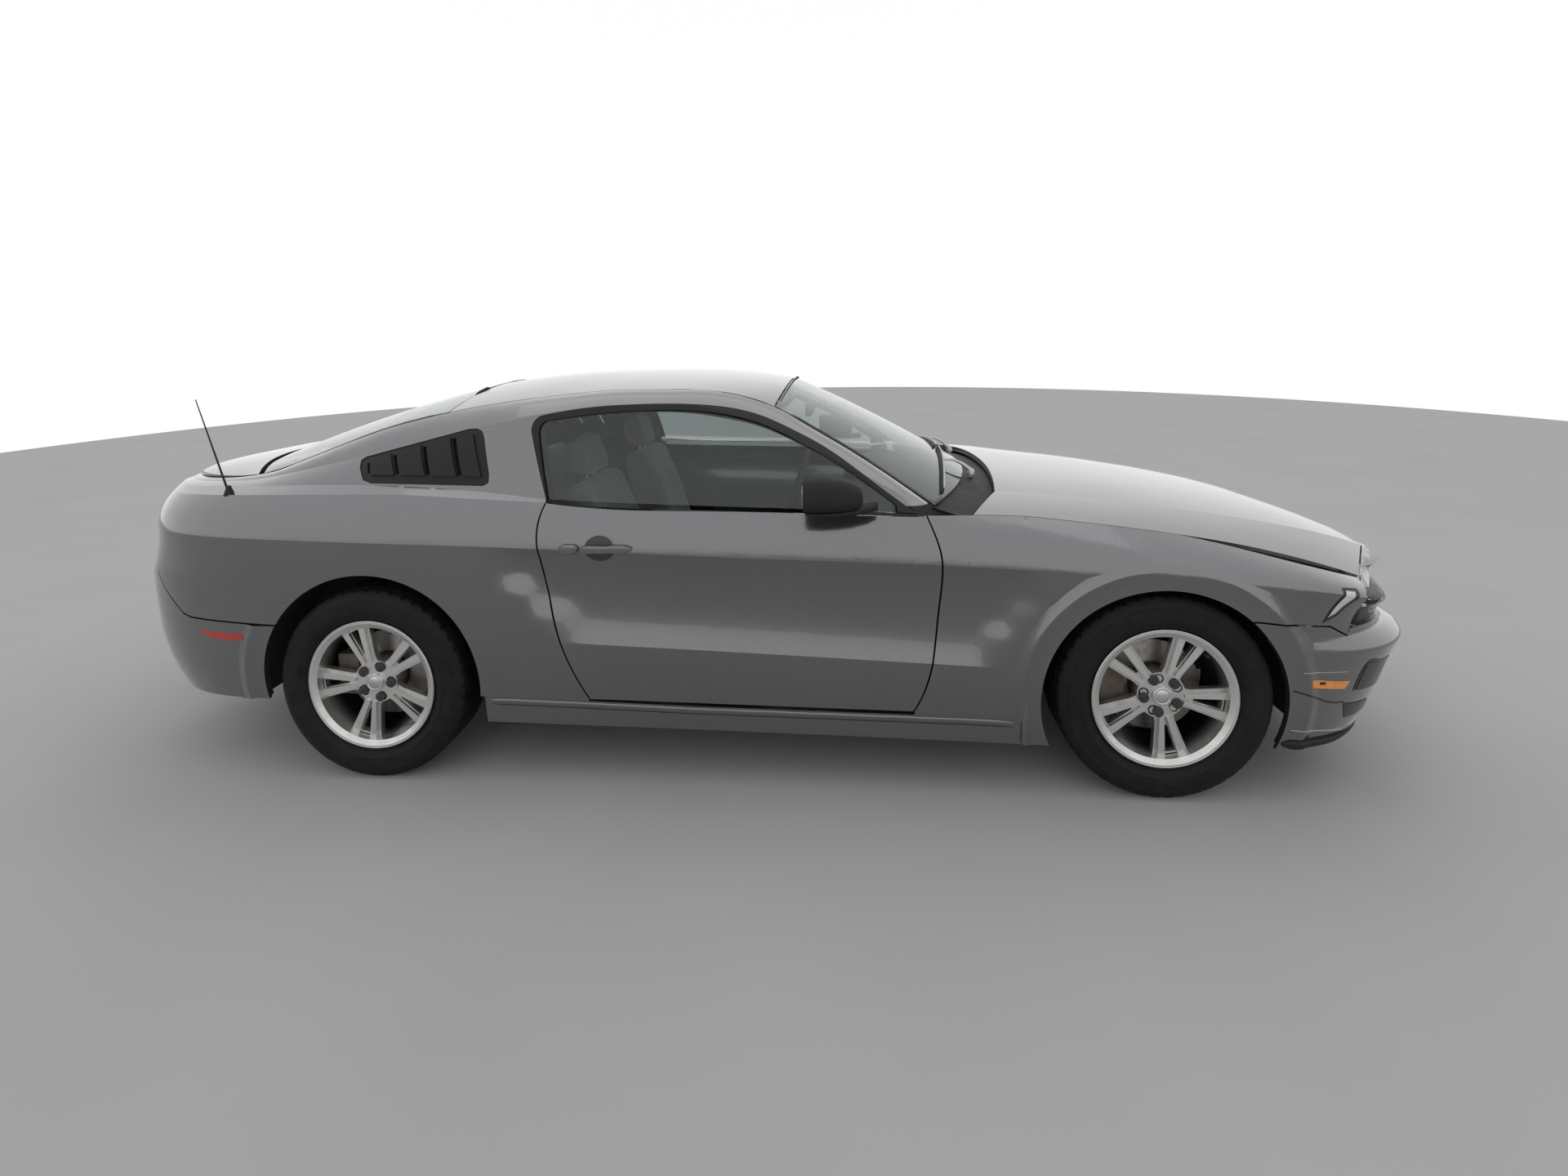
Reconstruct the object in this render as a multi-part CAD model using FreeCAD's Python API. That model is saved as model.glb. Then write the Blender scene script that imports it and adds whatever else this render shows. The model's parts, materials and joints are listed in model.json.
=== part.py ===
import FreeCAD, Part
import math
import os

V = FreeCAD.Vector
os.makedirs("parts", exist_ok=True)

# Two-door coupe. Millimetres, +X forward, +Y to the car's left, +Z up, floor at zero.
# Overall sizes
LENGTH = 4788.0
WIDTH = 1877.0
HEIGHT = 1412.0
WHEELBASE = 2720.0
FRONT_OVERHANG = 971.0
TRACK_FRONT = 1578.0
TRACK_REAR = 1592.0
HALF_LENGTH = LENGTH / 2
HALF_WIDTH = WIDTH / 2
AXLE_FRONT = HALF_LENGTH - FRONT_OVERHANG
AXLE_REAR = AXLE_FRONT - WHEELBASE

# Wheels and tyres
TYRE_RADIUS = 345.0
TYRE_WIDTH = 218.0
RIM_RADIUS = 216.0
RIM_LIP_RADIUS = 233.0
RIM_WIDTH = 190.0
RIM_WALL = 9.0
BEAD_GAP = 0.3
HUB_RADIUS = 78.0
HUB_BORE_RADIUS = 35.0
LUG_CIRCLE_RADIUS = 57.15
LUG_RADIUS = 11.0
LUG_LENGTH = 22.0
LUG_POCKET_RADIUS = 17.0
SPOKE_PAIRS = 5
DISC_RADIUS = 158.0
DISC_THICKNESS = 28.0
CALIPER_LENGTH = 150.0
CALIPER_DEPTH = 58.0
CALIPER_WIDTH = 78.0
STUB_CLEARANCE = 0.5
KNUCKLE_THICKNESS = 46.0
KINGPIN_INSET = 152.0

# Clearances and walls
SHUT_GAP = 6.0
SEAT_GAP = 0.3
OVERRUN = 400.0
LAP = 50.0
SILL_LAP = 20.0
SEAM = 0.01
PANEL_WALL = 14.0
BUMPER_WALL = 12.0
DOOR_WALL = 62.0
ROOF_WALL = 26.0
PILLAR_WALL = 34.0
HOOD_WALL = 22.0
LID_WALL = 24.0
GLASS_WALL = 6.0
FLOOR_WALL = 22.0
FLARE_HEIGHT = 9.0
FLARE_WIDTH = 112.0
ARCH_RADIUS_FRONT = 388.0
ARCH_RADIUS_REAR = 398.0
ARCH_DROP_FRONT = 12.0
ARCH_RISE_REAR = 9.0
SILL_TUCK = 20.0
CREASE_TUCK = 5.0
RECESS_DEPTH = 24.0
SCOOP_FADE = 130.0
CREASE_FADE = 150.0
ROUND_START_FRONT = 1500.0
ROUND_START_REAR = 1500.0
HEIGHT_OF_LEDGE = 520.0

# Stations of the body's level lines: share of half length, of half width, of height
SHOULDER_SHARES = (
    (-1.000, 0.900, 0.708), (-0.835, 0.906, 0.721), (-0.662, 0.906, 0.724), (-0.522, 0.904, 0.724),
    (-0.368, 0.897, 0.710), (-0.272, 0.893, 0.701), (0.000, 0.906, 0.683), (0.167, 0.906, 0.674),
    (0.276, 0.895, 0.668), (0.334, 0.879, 0.666), (0.397, 0.868, 0.663), (0.501, 0.859, 0.644),
    (0.612, 0.849, 0.618), (0.706, 0.842, 0.590), (0.802, 0.836, 0.550), (0.870, 0.831, 0.513),
    (1.000, 0.815, 0.432))
WAIST_SHARES = (
    (-1.000, 0.975, 0.641), (-0.794, 0.982, 0.629), (-0.542, 0.982, 0.615), (-0.400, 0.974, 0.607),
    (-0.267, 0.968, 0.598), (0.000, 0.965, 0.579), (0.292, 0.965, 0.563), (0.467, 0.974, 0.548),
    (0.594, 0.982, 0.536), (0.794, 0.982, 0.506), (1.000, 0.982, 0.400))
LOWER_CREASE_SHARES = (
    (-1.000, 0.397), (-0.542, 0.380), (-0.261, 0.365), (0.000, 0.347), (0.371, 0.319), (0.594, 0.305),
    (1.000, 0.283))
SILL_SHARES = ((-1.000, 0.205), (-0.780, 0.205), (-0.362, 0.154), (0.000, 0.142), (0.410, 0.128), (1.000,
                                                                                                   0.117))
FOOT_SHARES = (
    (-1.000, 0.847, 0.724), (-0.914, 0.852, 0.731), (-0.766, 0.842, 0.735), (-0.710, 0.842, 0.738),
    (-0.640, 0.847, 0.741), (-0.558, 0.852, 0.741), (-0.462, 0.859, 0.735), (-0.368, 0.868, 0.724),
    (-0.272, 0.882, 0.708), (-0.167, 0.891, 0.700), (0.000, 0.897, 0.691), (0.165, 0.895, 0.682),
    (0.216, 0.893, 0.678), (0.264, 0.891, 0.673), (0.292, 0.887, 0.670))
CANT_SHARES = (
    (-1.000, 0.794, 0.727), (-0.914, 0.799, 0.735), (-0.766, 0.780, 0.745), (-0.710, 0.769, 0.761),
    (-0.640, 0.765, 0.785), (-0.558, 0.769, 0.816), (-0.462, 0.781, 0.848), (-0.399, 0.786, 0.875),
    (-0.289, 0.778, 0.914), (-0.179, 0.763, 0.933), (-0.071, 0.762, 0.931), (-0.017, 0.769, 0.914),
    (0.057, 0.786, 0.870), (0.114, 0.812, 0.825), (0.165, 0.829, 0.783), (0.216, 0.842, 0.737),
    (0.264, 0.855, 0.694), (0.292, 0.859, 0.673))
RAIL_SHARES = (
    (-1.000, 0.735, 0.728), (-0.914, 0.746, 0.738), (-0.815, 0.735, 0.745), (-0.766, 0.716, 0.754),
    (-0.710, 0.701, 0.783), (-0.640, 0.690, 0.827), (-0.558, 0.682, 0.874), (-0.462, 0.673, 0.912),
    (-0.399, 0.667, 0.931), (-0.289, 0.661, 0.953), (-0.179, 0.656, 0.966), (-0.071, 0.656, 0.965),
    (-0.017, 0.658, 0.955), (0.057, 0.673, 0.918), (0.114, 0.703, 0.865), (0.165, 0.733, 0.816),
    (0.216, 0.762, 0.762), (0.264, 0.791, 0.707), (0.292, 0.807, 0.675))
ROOF_CENTRE_SHARES = (
    (-0.462, 0.973), (-0.376, 0.989), (-0.289, 0.998), (-0.179, 1.000), (-0.071, 0.995), (0.000, 0.984),
    (0.069, 0.966))
HOOD_CENTRE_SHARES = ((0.388, 0.703), (0.560, 0.680), (0.714, 0.645), (0.844, 0.604), (0.930, 0.564), (0.965,
                                                                                                       0.543))
HOOD_CREASE_SHARES = (
    (0.343, 0.599, 0.676), (0.388, 0.597, 0.683), (0.560, 0.597, 0.659), (0.714, 0.591, 0.624),
    (0.844, 0.581, 0.583), (0.930, 0.554, 0.543), (0.960, 0.545, 0.523))
DECK_CENTRE_SHARES = ((-1.000, 0.742), (-0.973, 0.751), (-0.940, 0.758), (-0.881, 0.768), (-0.773, 0.776))

# Ends of the car on the centre line: share of height, share of half length
NOSE_SHARES = (
    (0.110, 0.928), (0.130, 0.944), (0.150, 0.955), (0.177, 0.965), (0.212, 0.973), (0.241, 0.979), (0.283,
                                                                                                     0.987),
    (0.319, 0.993), (0.345, 0.998), (0.361, 1.000), (0.374, 0.992), (0.388, 0.974), (0.402, 0.964), (0.430,
                                                                                                     0.962),
    (0.482, 0.964), (0.510, 0.965), (0.526, 0.962), (0.540, 0.956), (0.560, 0.945))
NOSE_POWER_SHARES = (
    (0.120, 3.00), (0.200, 3.10), (0.300, 3.25), (0.361, 3.45), (0.390, 3.35), (0.430, 3.50), (0.460, 3.90),
    (0.500, 5.60), (0.530, 7.50), (0.560, 7.50))
TAIL_SHARES = (
    (0.191, 0.948), (0.248, 0.973), (0.319, 0.991), (0.390, 0.997), (0.460, 1.000), (0.506, 1.000),
    (0.523, 0.996), (0.537, 0.988), (0.567, 0.985), (0.623, 0.982), (0.680, 0.977), (0.715, 0.971),
    (0.740, 0.960))

# Outlines in side view: share of half length, share of height
DOOR_REAR_SHARES = (
    (-0.2694, 0.7040), (-0.2744, 0.6650), (-0.2744, 0.6197), (-0.2690, 0.5382), (-0.2598, 0.4533),
    (-0.2456, 0.3584), (-0.2285, 0.2847), (-0.2080, 0.2195))
DOOR_FRONT_SHARES = (
    (0.2736, 0.6763), (0.2836, 0.6360), (0.2916, 0.5921), (0.2941, 0.5439), (0.2895, 0.4462),
    (0.2824, 0.3477), (0.2728, 0.2755), (0.2540, 0.2050))
SILL_TOP_SHARES = ((-0.3740, 0.2230), (-0.0568, 0.2055), (0.2302, 0.1970), (0.4060, 0.1915))
BELT_SHARES = ((-0.2694, 0.6990), (-0.1771, 0.6860), (-0.0042, 0.6800), (0.1637, 0.6715), (0.2736, 0.6650))
SEAL_TOP_SHARES = (
    (-0.2719, 0.7018), (-0.3041, 0.8725), (-0.2995, 0.9001), (-0.2861, 0.9115), (-0.2143, 0.9285),
    (-0.1374, 0.9348), (-0.0610, 0.9327), (-0.0096, 0.9235), (0.0409, 0.9016), (0.0815, 0.8718),
    (0.1408, 0.8187), (0.1888, 0.7627), (0.2356, 0.7047), (0.2700, 0.6664))
GLASS_TOP_SHARES = (
    (-0.2673, 0.6976), (-0.2899, 0.8676), (-0.2857, 0.8888), (-0.2715, 0.8973), (-0.2135, 0.9093),
    (-0.1366, 0.9164), (-0.0597, 0.9136), (-0.0088, 0.9016), (0.0418, 0.8789), (0.0915, 0.8414),
    (0.1408, 0.7967), (0.1963, 0.7365), (0.2339, 0.6905))
LOUVRE_SHARES = (
    (-0.5782, 0.7813), (-0.5817, 0.7982), (-0.5752, 0.8060), (-0.4061, 0.8770), (-0.3913, 0.8786), (-0.3825,
                                                                                                    0.8716),
    (-0.3773, 0.8554), (-0.3632, 0.7680), (-0.3630, 0.7465), (-0.3714, 0.7387), (-0.5490, 0.7445), (-0.5643,
                                                                                                    0.7518))
LOUVRE_SLOT_SHARES = (
    ((-0.5689, 0.7910), (-0.5645, 0.7911), (-0.5568, 0.7668), (-0.5603, 0.7667)),
    ((-0.5273, 0.8104), (-0.5225, 0.8115), (-0.5085, 0.7663), (-0.5139, 0.7663)),
    ((-0.4803, 0.8321), (-0.4747, 0.8333), (-0.4577, 0.7638), (-0.4636, 0.7637)),
    ((-0.4320, 0.8531), (-0.4258, 0.8542), (-0.4073, 0.7640), (-0.4132, 0.7640)))
LOUVRE_VANE_SHARES = (
    ((-0.5638, 0.7988), (-0.5309, 0.8132), (-0.5150, 0.7653), (-0.5543, 0.7650)),
    ((-0.5201, 0.8174), (-0.4837, 0.8361), (-0.4649, 0.7637), (-0.5057, 0.7654)),
    ((-0.4722, 0.8403), (-0.4351, 0.8560), (-0.4143, 0.7620), (-0.4550, 0.7638)),
    ((-0.4222, 0.8603), (-0.3967, 0.8655), (-0.3756, 0.7621), (-0.4039, 0.7621)))
REAR_BUMPER_CUT_SHARES = (
    (-0.9286, 0.5836), (-0.8789, 0.4858), (-0.8358, 0.4249), (-0.8212, 0.4171), (-0.6788, 0.4044))
FRONT_BUMPER_CUT_SHARES = ((0.7072, 0.4405), (0.8020, 0.4256), (0.8308, 0.3980))
LAMP_EDGE_SHARES = ((0.8697, 0.5250), (0.8446, 0.5000), (0.8308, 0.3980))


def curve(shares, across, along):
    """Smooth line through hand-set stations; returns a function of the first coordinate."""
    xs = [row[0] * across for row in shares]
    ys = [row[1] * along for row in shares]
    if xs[0] > xs[-1]:
        xs.reverse()
        ys.reverse()
    slopes = [(ys[i + 1] - ys[i]) / (xs[i + 1] - xs[i]) for i in range(len(xs) - 1)]
    tangents = [slopes[0]]
    for i in range(1, len(xs) - 1):
        a, b = slopes[i - 1], slopes[i]
        tangents.append(2 * a * b / (a + b) if a * b > 0 else 0.0)
    tangents.append(slopes[-1])

    def value(x):
        if x <= xs[0]:
            return ys[0] + tangents[0] * (x - xs[0])
        if x >= xs[-1]:
            return ys[-1] + tangents[-1] * (x - xs[-1])
        i = max(k for k in range(len(xs) - 1) if xs[k] <= x)
        h = xs[i + 1] - xs[i]
        t = (x - xs[i]) / h
        return (ys[i] * (1 + 2 * t) * (1 - t) ** 2 + tangents[i] * h * t * (1 - t) ** 2
                + ys[i + 1] * t * t * (3 - 2 * t) + tangents[i + 1] * h * t * t * (t - 1))
    return value


def line_in_space(shares):
    """Half width and height along the car, as a pair of functions of x."""
    widths = curve([(a, b) for a, b, c in shares], HALF_LENGTH, HALF_WIDTH)
    heights = curve([(a, c) for a, b, c in shares], HALF_LENGTH, HEIGHT)
    return widths, heights


SHOULDER_Y, SHOULDER_Z = line_in_space(SHOULDER_SHARES)
WAIST_Y, WAIST_Z = line_in_space(WAIST_SHARES)
FOOT_Y, FOOT_Z = line_in_space(FOOT_SHARES)
CANT_Y, CANT_Z = line_in_space(CANT_SHARES)
RAIL_Y, RAIL_Z = line_in_space(RAIL_SHARES)
CREASE_Z = curve(LOWER_CREASE_SHARES, HALF_LENGTH, HEIGHT)
SILL_Z = curve(SILL_SHARES, HALF_LENGTH, HEIGHT)
ROOF_Z = curve(ROOF_CENTRE_SHARES, HALF_LENGTH, HEIGHT)
HOOD_Z = curve(HOOD_CENTRE_SHARES, HALF_LENGTH, HEIGHT)
HOOD_CREASE_Y, HOOD_CREASE_Z = line_in_space(HOOD_CREASE_SHARES)
DECK_Z = curve(DECK_CENTRE_SHARES, HALF_LENGTH, HEIGHT)
NOSE_X = curve(NOSE_SHARES, HEIGHT, HALF_LENGTH)
TAIL_X = curve(TAIL_SHARES, HEIGHT, HALF_LENGTH)


def clamp(value, low, high):
    return max(low, min(high, value))


def smooth(value):
    t = clamp(value, 0.0, 1.0)
    return t * t * (3 - 2 * t)


def mix(a, b, t):
    return a + (b - a) * t


def steps(start, end, count):
    return [mix(start, end, i / count) for i in range(count + 1)]


# Nominal places of the scooped recess between the two side creases
RECESS_REAR_SHARES = (-0.261, -0.400)
RECESS_FRONT_SHARES = (0.371, 0.467)


def recess(x, t):
    """Depth of the hollow between the creases at x; t runs from the lower to the upper crease."""
    rear = mix(RECESS_REAR_SHARES[0], RECESS_REAR_SHARES[1], t ** 1.5) * HALF_LENGTH
    front = mix(RECESS_FRONT_SHARES[0], RECESS_FRONT_SHARES[1], t) * HALF_LENGTH
    inside = smooth((x - rear) / SCOOP_FADE) * smooth((front - x) / CREASE_FADE)
    return RECESS_DEPTH * inside


def skin_y(x, z):
    """Half width of the body side before its ends are rounded in plan."""
    sill, crease = SILL_Z(x), CREASE_Z(x)
    waist_y, waist_z = WAIST_Y(x), WAIST_Z(x)
    shoulder_y, shoulder_z = SHOULDER_Y(x), SHOULDER_Z(x)
    if z <= crease:
        t = clamp((crease - z) / (crease - sill), 0.0, 2.0)
        return waist_y - CREASE_TUCK - SILL_TUCK * t ** 1.6
    if z <= waist_z:
        t = (z - crease) / (waist_z - crease)
        return waist_y - CREASE_TUCK * (1 - t) - recess(x, t) * 4 * t * (1 - t)
    t = clamp((z - waist_z) / (shoulder_z - waist_z), 0.0, 1.2)
    return waist_y - (waist_y - shoulder_y) * t ** 2


# Squareness of the plan corners: of the nose by height, of the tail throughout
NOSE_POWER = curve(NOSE_POWER_SHARES, HEIGHT, 1.0)
TAIL_POWER = 3.6


def plan_power(front, z):
    return NOSE_POWER(z) if front else TAIL_POWER


def round_point(front, angle, z):
    """A point of the rounded end; angle is 0 at the side and 90 degrees on the centre line."""
    power = plan_power(front, z)
    c, s = math.cos(angle), math.sin(angle)
    reach = (abs(c) ** power + abs(s) ** power) ** (-1 / power)
    start = ROUND_START_FRONT if front else ROUND_START_REAR
    tip = NOSE_X(z) if front else TAIL_X(z)
    x = start + (tip - start) * reach * abs(s)
    x = x if front else -x
    return V(x, -skin_y(x, z) * reach * c, z)


def side_x(s):
    return mix(-ROUND_START_REAR, ROUND_START_FRONT, (s + 1) / 2)


def station(x):
    """The skin coordinate of a place between the rounded ends."""
    return 2 * (x + ROUND_START_REAR) / (ROUND_START_FRONT + ROUND_START_REAR) - 1


def skin(s, z):
    """The body's right-hand skin: s is -1 to 1 along the straight side and beyond that round an end."""
    if s > 1:
        return round_point(True, (s - 1) * math.pi / 2, z)
    if s < -1:
        return round_point(False, (-s - 1) * math.pi / 2, z)
    x = side_x(s)
    return V(x, -skin_y(x, z), z)


def nominal_x(s):
    return skin(s, HEIGHT_OF_LEDGE).x


# Surfaces


def spline_row(points, knots):
    """Inner control points of the cubic that runs smoothly through the points."""
    n = len(points)
    slopes = [(points[i + 1] - points[i]) * (1 / (knots[i + 1] - knots[i])) for i in range(n - 1)]
    tangents = [slopes[0]]
    for i in range(1, n - 1):
        before, after = knots[i] - knots[i - 1], knots[i + 1] - knots[i]
        tangents.append((slopes[i - 1] * after + slopes[i] * before) * (1 / (before + after)))
    tangents.append(slopes[-1])
    if n > 2:
        tangents[0] = slopes[0] * 2 - tangents[1]
        tangents[-1] = slopes[-1] * 2 - tangents[-2]
    poles = [points[0]]
    for i in range(n - 1):
        h = knots[i + 1] - knots[i]
        poles.append(points[i] + tangents[i] * (h / 3))
        poles.append(points[i + 1] - tangents[i + 1] * (h / 3))
    poles.append(points[-1])
    return poles


def knots_of(count):
    return [float(i) for i in range(count)]


def surface(grid):
    """Face through a grid of points, grid[i][j]."""
    us, vs = knots_of(len(grid)), knots_of(len(grid[0]))
    rows = [spline_row(row, vs) for row in grid]
    columns = [spline_row([row[j] for row in rows], us) for j in range(len(rows[0]))]
    poles = [[column[i] for column in columns] for i in range(len(columns[0]))]
    sheet = Part.BSplineSurface()
    sheet.buildFromPolesMultsKnots(poles, [4] + [2] * (len(us) - 2) + [4], [4] + [2] * (len(vs) - 2) + [4],
                                   us, vs, False, False, 3, 3)
    return sheet.toShape()


def outward(point):
    """Rough direction from the middle of the car, to tell outside from inside."""
    return V(point.x - clamp(point.x, AXLE_REAR, AXLE_FRONT), point.y, point.z - HEIGHT / 3)


def grid_normals(grid):
    out = []
    for i, row in enumerate(grid):
        line = []
        for j, point in enumerate(row):
            du = grid[min(i + 1, len(grid) - 1)][j] - grid[max(i - 1, 0)][j]
            dv = row[min(j + 1, len(row) - 1)] - row[max(j - 1, 0)]
            n = du.cross(dv)
            n.normalize()
            line.append(n if n.dot(outward(point)) > 0 else n * -1)
        out.append(line)
    return out


def evened(row_set):
    """Directions averaged with their neighbours, so that the inner side of a panel can't fold."""
    out = []
    for i, row in enumerate(row_set):
        line = []
        for j, n in enumerate(row):
            near = [row_set[a][b] for a, b in ((i - 1, j), (i + 1, j), (i, j - 1), (i, j + 1))
                    if 0 <= a < len(row_set) and 0 <= b < len(row)]
            total = n * len(near)
            for other in near:
                total = total + other
            total.normalize()
            line.append(total)
        out.append(line)
    return out


EVENING_ROUNDS = 6


def panel_directions(strips):
    """Outward directions of all strips, evened across their shared borders."""
    joined = []
    for i in range(len(strips[0])):
        row = []
        for grid in strips:
            row += grid[i] if not row else grid[i][1:]
        joined.append(row)
    normals = grid_normals(joined)
    for _ in range(EVENING_ROUNDS):
        normals = evened(normals)
    out = []
    start = 0
    for grid in strips:
        width = len(grid[0])
        out.append([row[start:start + width] for row in normals])
        start += width - 1
    return out


def thick(strips, wall, sunk=0.0, way=None):
    """Solid panel: outer strips of grid points that share border rows, offset inwards by the wall."""
    if way:
        normals = [[[way for point in row] for row in grid] for grid in strips]
    else:
        normals = panel_directions(strips)
    inner = [[[p - n * (sunk + wall) for p, n in zip(row, side)] for row, side in zip(grid, way)]
             for grid, way in zip(strips, normals)]
    if sunk:
        strips = [[[p - n * sunk for p, n in zip(row, side)] for row, side in zip(grid, way)]
                  for grid, way in zip(strips, normals)]
    faces = []
    for grid, back in zip(strips, inner):
        faces.append(surface(grid))
        faces.append(surface(back))
        faces.append(surface([grid[0], back[0]]))
        faces.append(surface([grid[-1], back[-1]]))
    for grid, back, j in ((strips[0], inner[0], 0), (strips[-1], inner[-1], -1)):
        faces.append(surface([[row[j] for row in grid], [row[j] for row in back]]))
    return closed(faces)


def closed(faces):
    skin_set = Part.makeCompound(faces)
    skin_set.sewShape(SEAM)
    shell = skin_set.Shells[0]
    body = Part.makeSolid(shell)
    if body.Volume < 0:
        body.reverse()
    return body


# Simple solids


def box(x0, x1, y0, y1, z0, z1):
    return Part.makeBox(x1 - x0, y1 - y0, z1 - z0, V(x0, y0, z0))


def polygon(points):
    return Part.Face(Part.makePolygon(points + [points[0]]))


def spline_edge(points):
    line = Part.BSplineCurve()
    line.interpolate(points)
    return line.toShape()


def prism_y(outline, y0, y1):
    """Block along Y from an outline of (x, z) places."""
    return polygon([V(x, y0, z) for x, z in outline]).extrude(V(0, y1 - y0, 0))


def prism_z(outline, z0, z1):
    return polygon([V(x, y, z0) for x, y in outline]).extrude(V(0, 0, z1 - z0))


def prism_x(outline, x0, x1):
    return polygon([V(x0, y, z) for y, z in outline]).extrude(V(x1 - x0, 0, 0))


def outline_y(parts, y0, y1):
    """Block along Y whose outline is made of smooth runs; each run is a list of (x, z) places."""
    edges = []
    for k, run in enumerate(parts):
        points = [V(x, y0, z) for x, z in run]
        edges.append(spline_edge(points) if len(points) > 2 else Part.makeLine(points[0], points[1]))
        following = parts[(k + 1) % len(parts)]
        start = V(following[0][0], y0, following[0][1])
        if (start - points[-1]).Length > SEAM:
            edges.append(Part.makeLine(points[-1], start))
    return Part.Face(Part.Wire(edges)).extrude(V(0, y1 - y0, 0))


def disc_y(radius, x, z, y0, y1):
    return Part.makeCylinder(radius, y1 - y0, V(x, y0, z), V(0, 1, 0))


def places(shares, dx=0.0, dz=0.0):
    return [(a * HALF_LENGTH + dx, b * HEIGHT + dz) for a, b in shares]


def mirrored(shape):
    return shape.mirror(V(0, 0, 0), V(0, 1, 0))


def moved(shape, x=0.0, y=0.0, z=0.0):
    copy = shape.copy()
    copy.translate(V(x, y, z))
    return copy


def biggest(shape):
    return max(shape.Solids, key=lambda solid: solid.Volume)


def fuse(shapes):
    whole = shapes[0]
    if len(shapes) > 1:
        whole = whole.fuse(shapes[1:])
    return whole


NODES = {}


def write(name, shape):
    solids = shape.Solids
    shape = solids[0] if len(solids) == 1 else Part.makeCompound(solids)
    shape.exportStep("parts/" + name + ".step")
    NODES[name] = shape
    print(name, len(solids), shape.isValid(), [round(v) for v in (shape.BoundBox.XMin, shape.BoundBox.XMax,
          shape.BoundBox.YMin, shape.BoundBox.YMax, shape.BoundBox.ZMin, shape.BoundBox.ZMax)])


def write_both(name, right):
    """Right and left copies of a piece kept in one node."""
    write(name, Part.makeCompound(right.Solids + mirrored(right).Solids))


def write_pair(name, right):
    write(name + "_right", right)
    write(name + "_left", mirrored(right))


# Side skin strips

ROW_SHARES = (0.0, 0.25, 0.5, 0.75, 1.0)


def side_strip(stations, low, high):
    return [[skin(s, mix(low(nominal_x(s)), high(nominal_x(s)), t)) for t in ROW_SHARES] for s in stations]


def side_panel(stations, wall, top=None):
    strips = [side_strip(stations, SILL_Z, CREASE_Z), side_strip(stations, CREASE_Z, WAIST_Z),
              side_strip(stations, WAIST_Z, SHOULDER_Z)]
    if top:
        strips.append([[mix_point(strips[2][i][-1], top(s), t) for t in ROW_SHARES]
                       for i, s in enumerate(stations)])
    return thick(strips, wall)


def mix_point(a, b, t):
    return a + (b - a) * t


# Wheel arches: centres follow the axles
ARCH_X_FRONT = AXLE_FRONT - ARCH_DROP_FRONT
ARCH_Z_FRONT = TYRE_RADIUS - ARCH_DROP_FRONT
ARCH_X_REAR = AXLE_REAR + ARCH_RISE_REAR
ARCH_Z_REAR = TYRE_RADIUS + ARCH_RISE_REAR


FLARE_STEPS = 20
FLARE_SHARES = ((0.00, -0.30), (0.10, -0.04), (0.20, 0.22), (0.30, 0.58), (0.38, 0.95), (0.42, 1.00), (0.47,
                                                                                                       0.90),
                (0.60, 0.55), (0.80, 0.22), (1.00, 0.10))


def flare(x0, z0, radius, start, end):
    """Raised lip round an arch, on the skin; angles are measured from straight back, over the top."""
    grid = []
    for angle in steps(start, end, FLARE_STEPS):
        row = []
        for along, up in FLARE_SHARES:
            r = radius + FLARE_WIDTH * (1 - along)
            x, z = x0 - r * math.cos(angle), z0 + r * math.sin(angle)
            row.append(V(x, -plan_y(x, z) - FLARE_HEIGHT * up, z))
        grid.append(row)
    return thick([grid], PANEL_WALL + FLARE_HEIGHT, 0.0, V(0, -1, 0))


def plan_y(x, z):
    """Half width of the finished skin, with the rounded ends."""
    start = ROUND_START_FRONT if x > 0 else ROUND_START_REAR
    t = (abs(x) - start) / ((NOSE_X(z) if x > 0 else TAIL_X(z)) - start)
    if t <= 0:
        return skin_y(x, z)
    power = plan_power(x > 0, z)
    return skin_y(x, z) * (1 - min(t, 1.0) ** power) ** (1 / power)


ARCH_FRONT_CUT = disc_y(ARCH_RADIUS_FRONT, ARCH_X_FRONT, ARCH_Z_FRONT, -HALF_WIDTH - OVERRUN, 0)
ARCH_REAR_CUT = disc_y(ARCH_RADIUS_REAR, ARCH_X_REAR, ARCH_Z_REAR, -HALF_WIDTH - OVERRUN, 0)

DOOR_REAR = places(DOOR_REAR_SHARES)
DOOR_FRONT = places(DOOR_FRONT_SHARES)
BELT = places(BELT_SHARES)
RIGHT_OUT = -HALF_WIDTH - OVERRUN


belt_run = [(DOOR_REAR[0][0], BELT[0][1])] + BELT[1:-1] + [(DOOR_FRONT[0][0], BELT[-1][1])]
DOOR_FORM = outline_y([belt_run, DOOR_FRONT, list(reversed(DOOR_REAR))], RIGHT_OUT, -HALF_WIDTH / 2)

# Door shell
door_stations = [station(x) for x in steps(DOOR_REAR[2][0] - LAP, DOOR_FRONT[3][0] + LAP, 14)]
door_shell = side_panel(door_stations, DOOR_WALL).common(DOOR_FORM)
write_pair("door", door_shell)

# Greenhouse strips: side window band and roof rail, drawn in with the tail's plan rounding
TAIL_CORNER = -1.57
BAND_BULGE_SHARE = 0.035
RAIL_BULGE_SHARE = 0.10


def plan_share(s):
    """How far the rounded end has drawn the skin in at this station: 1 along the straight side."""
    height = SHOULDER_Z(nominal_x(s))
    point = skin(s, height)
    return point.x, -point.y / skin_y(point.x, height)


def level_point(s, line_y, line_z):
    x, share = plan_share(s)
    return V(x, -line_y(x) * share, line_z(x))


def bowed(a, b, t, bulge_share, up):
    """Point between a and b, bowed outwards by a share of the span."""
    span = (b - a).Length
    bow = span * bulge_share * 4 * t * (1 - t)
    return a + (b - a) * t + V(0, -bow * (1 - up), bow * up)


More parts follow.
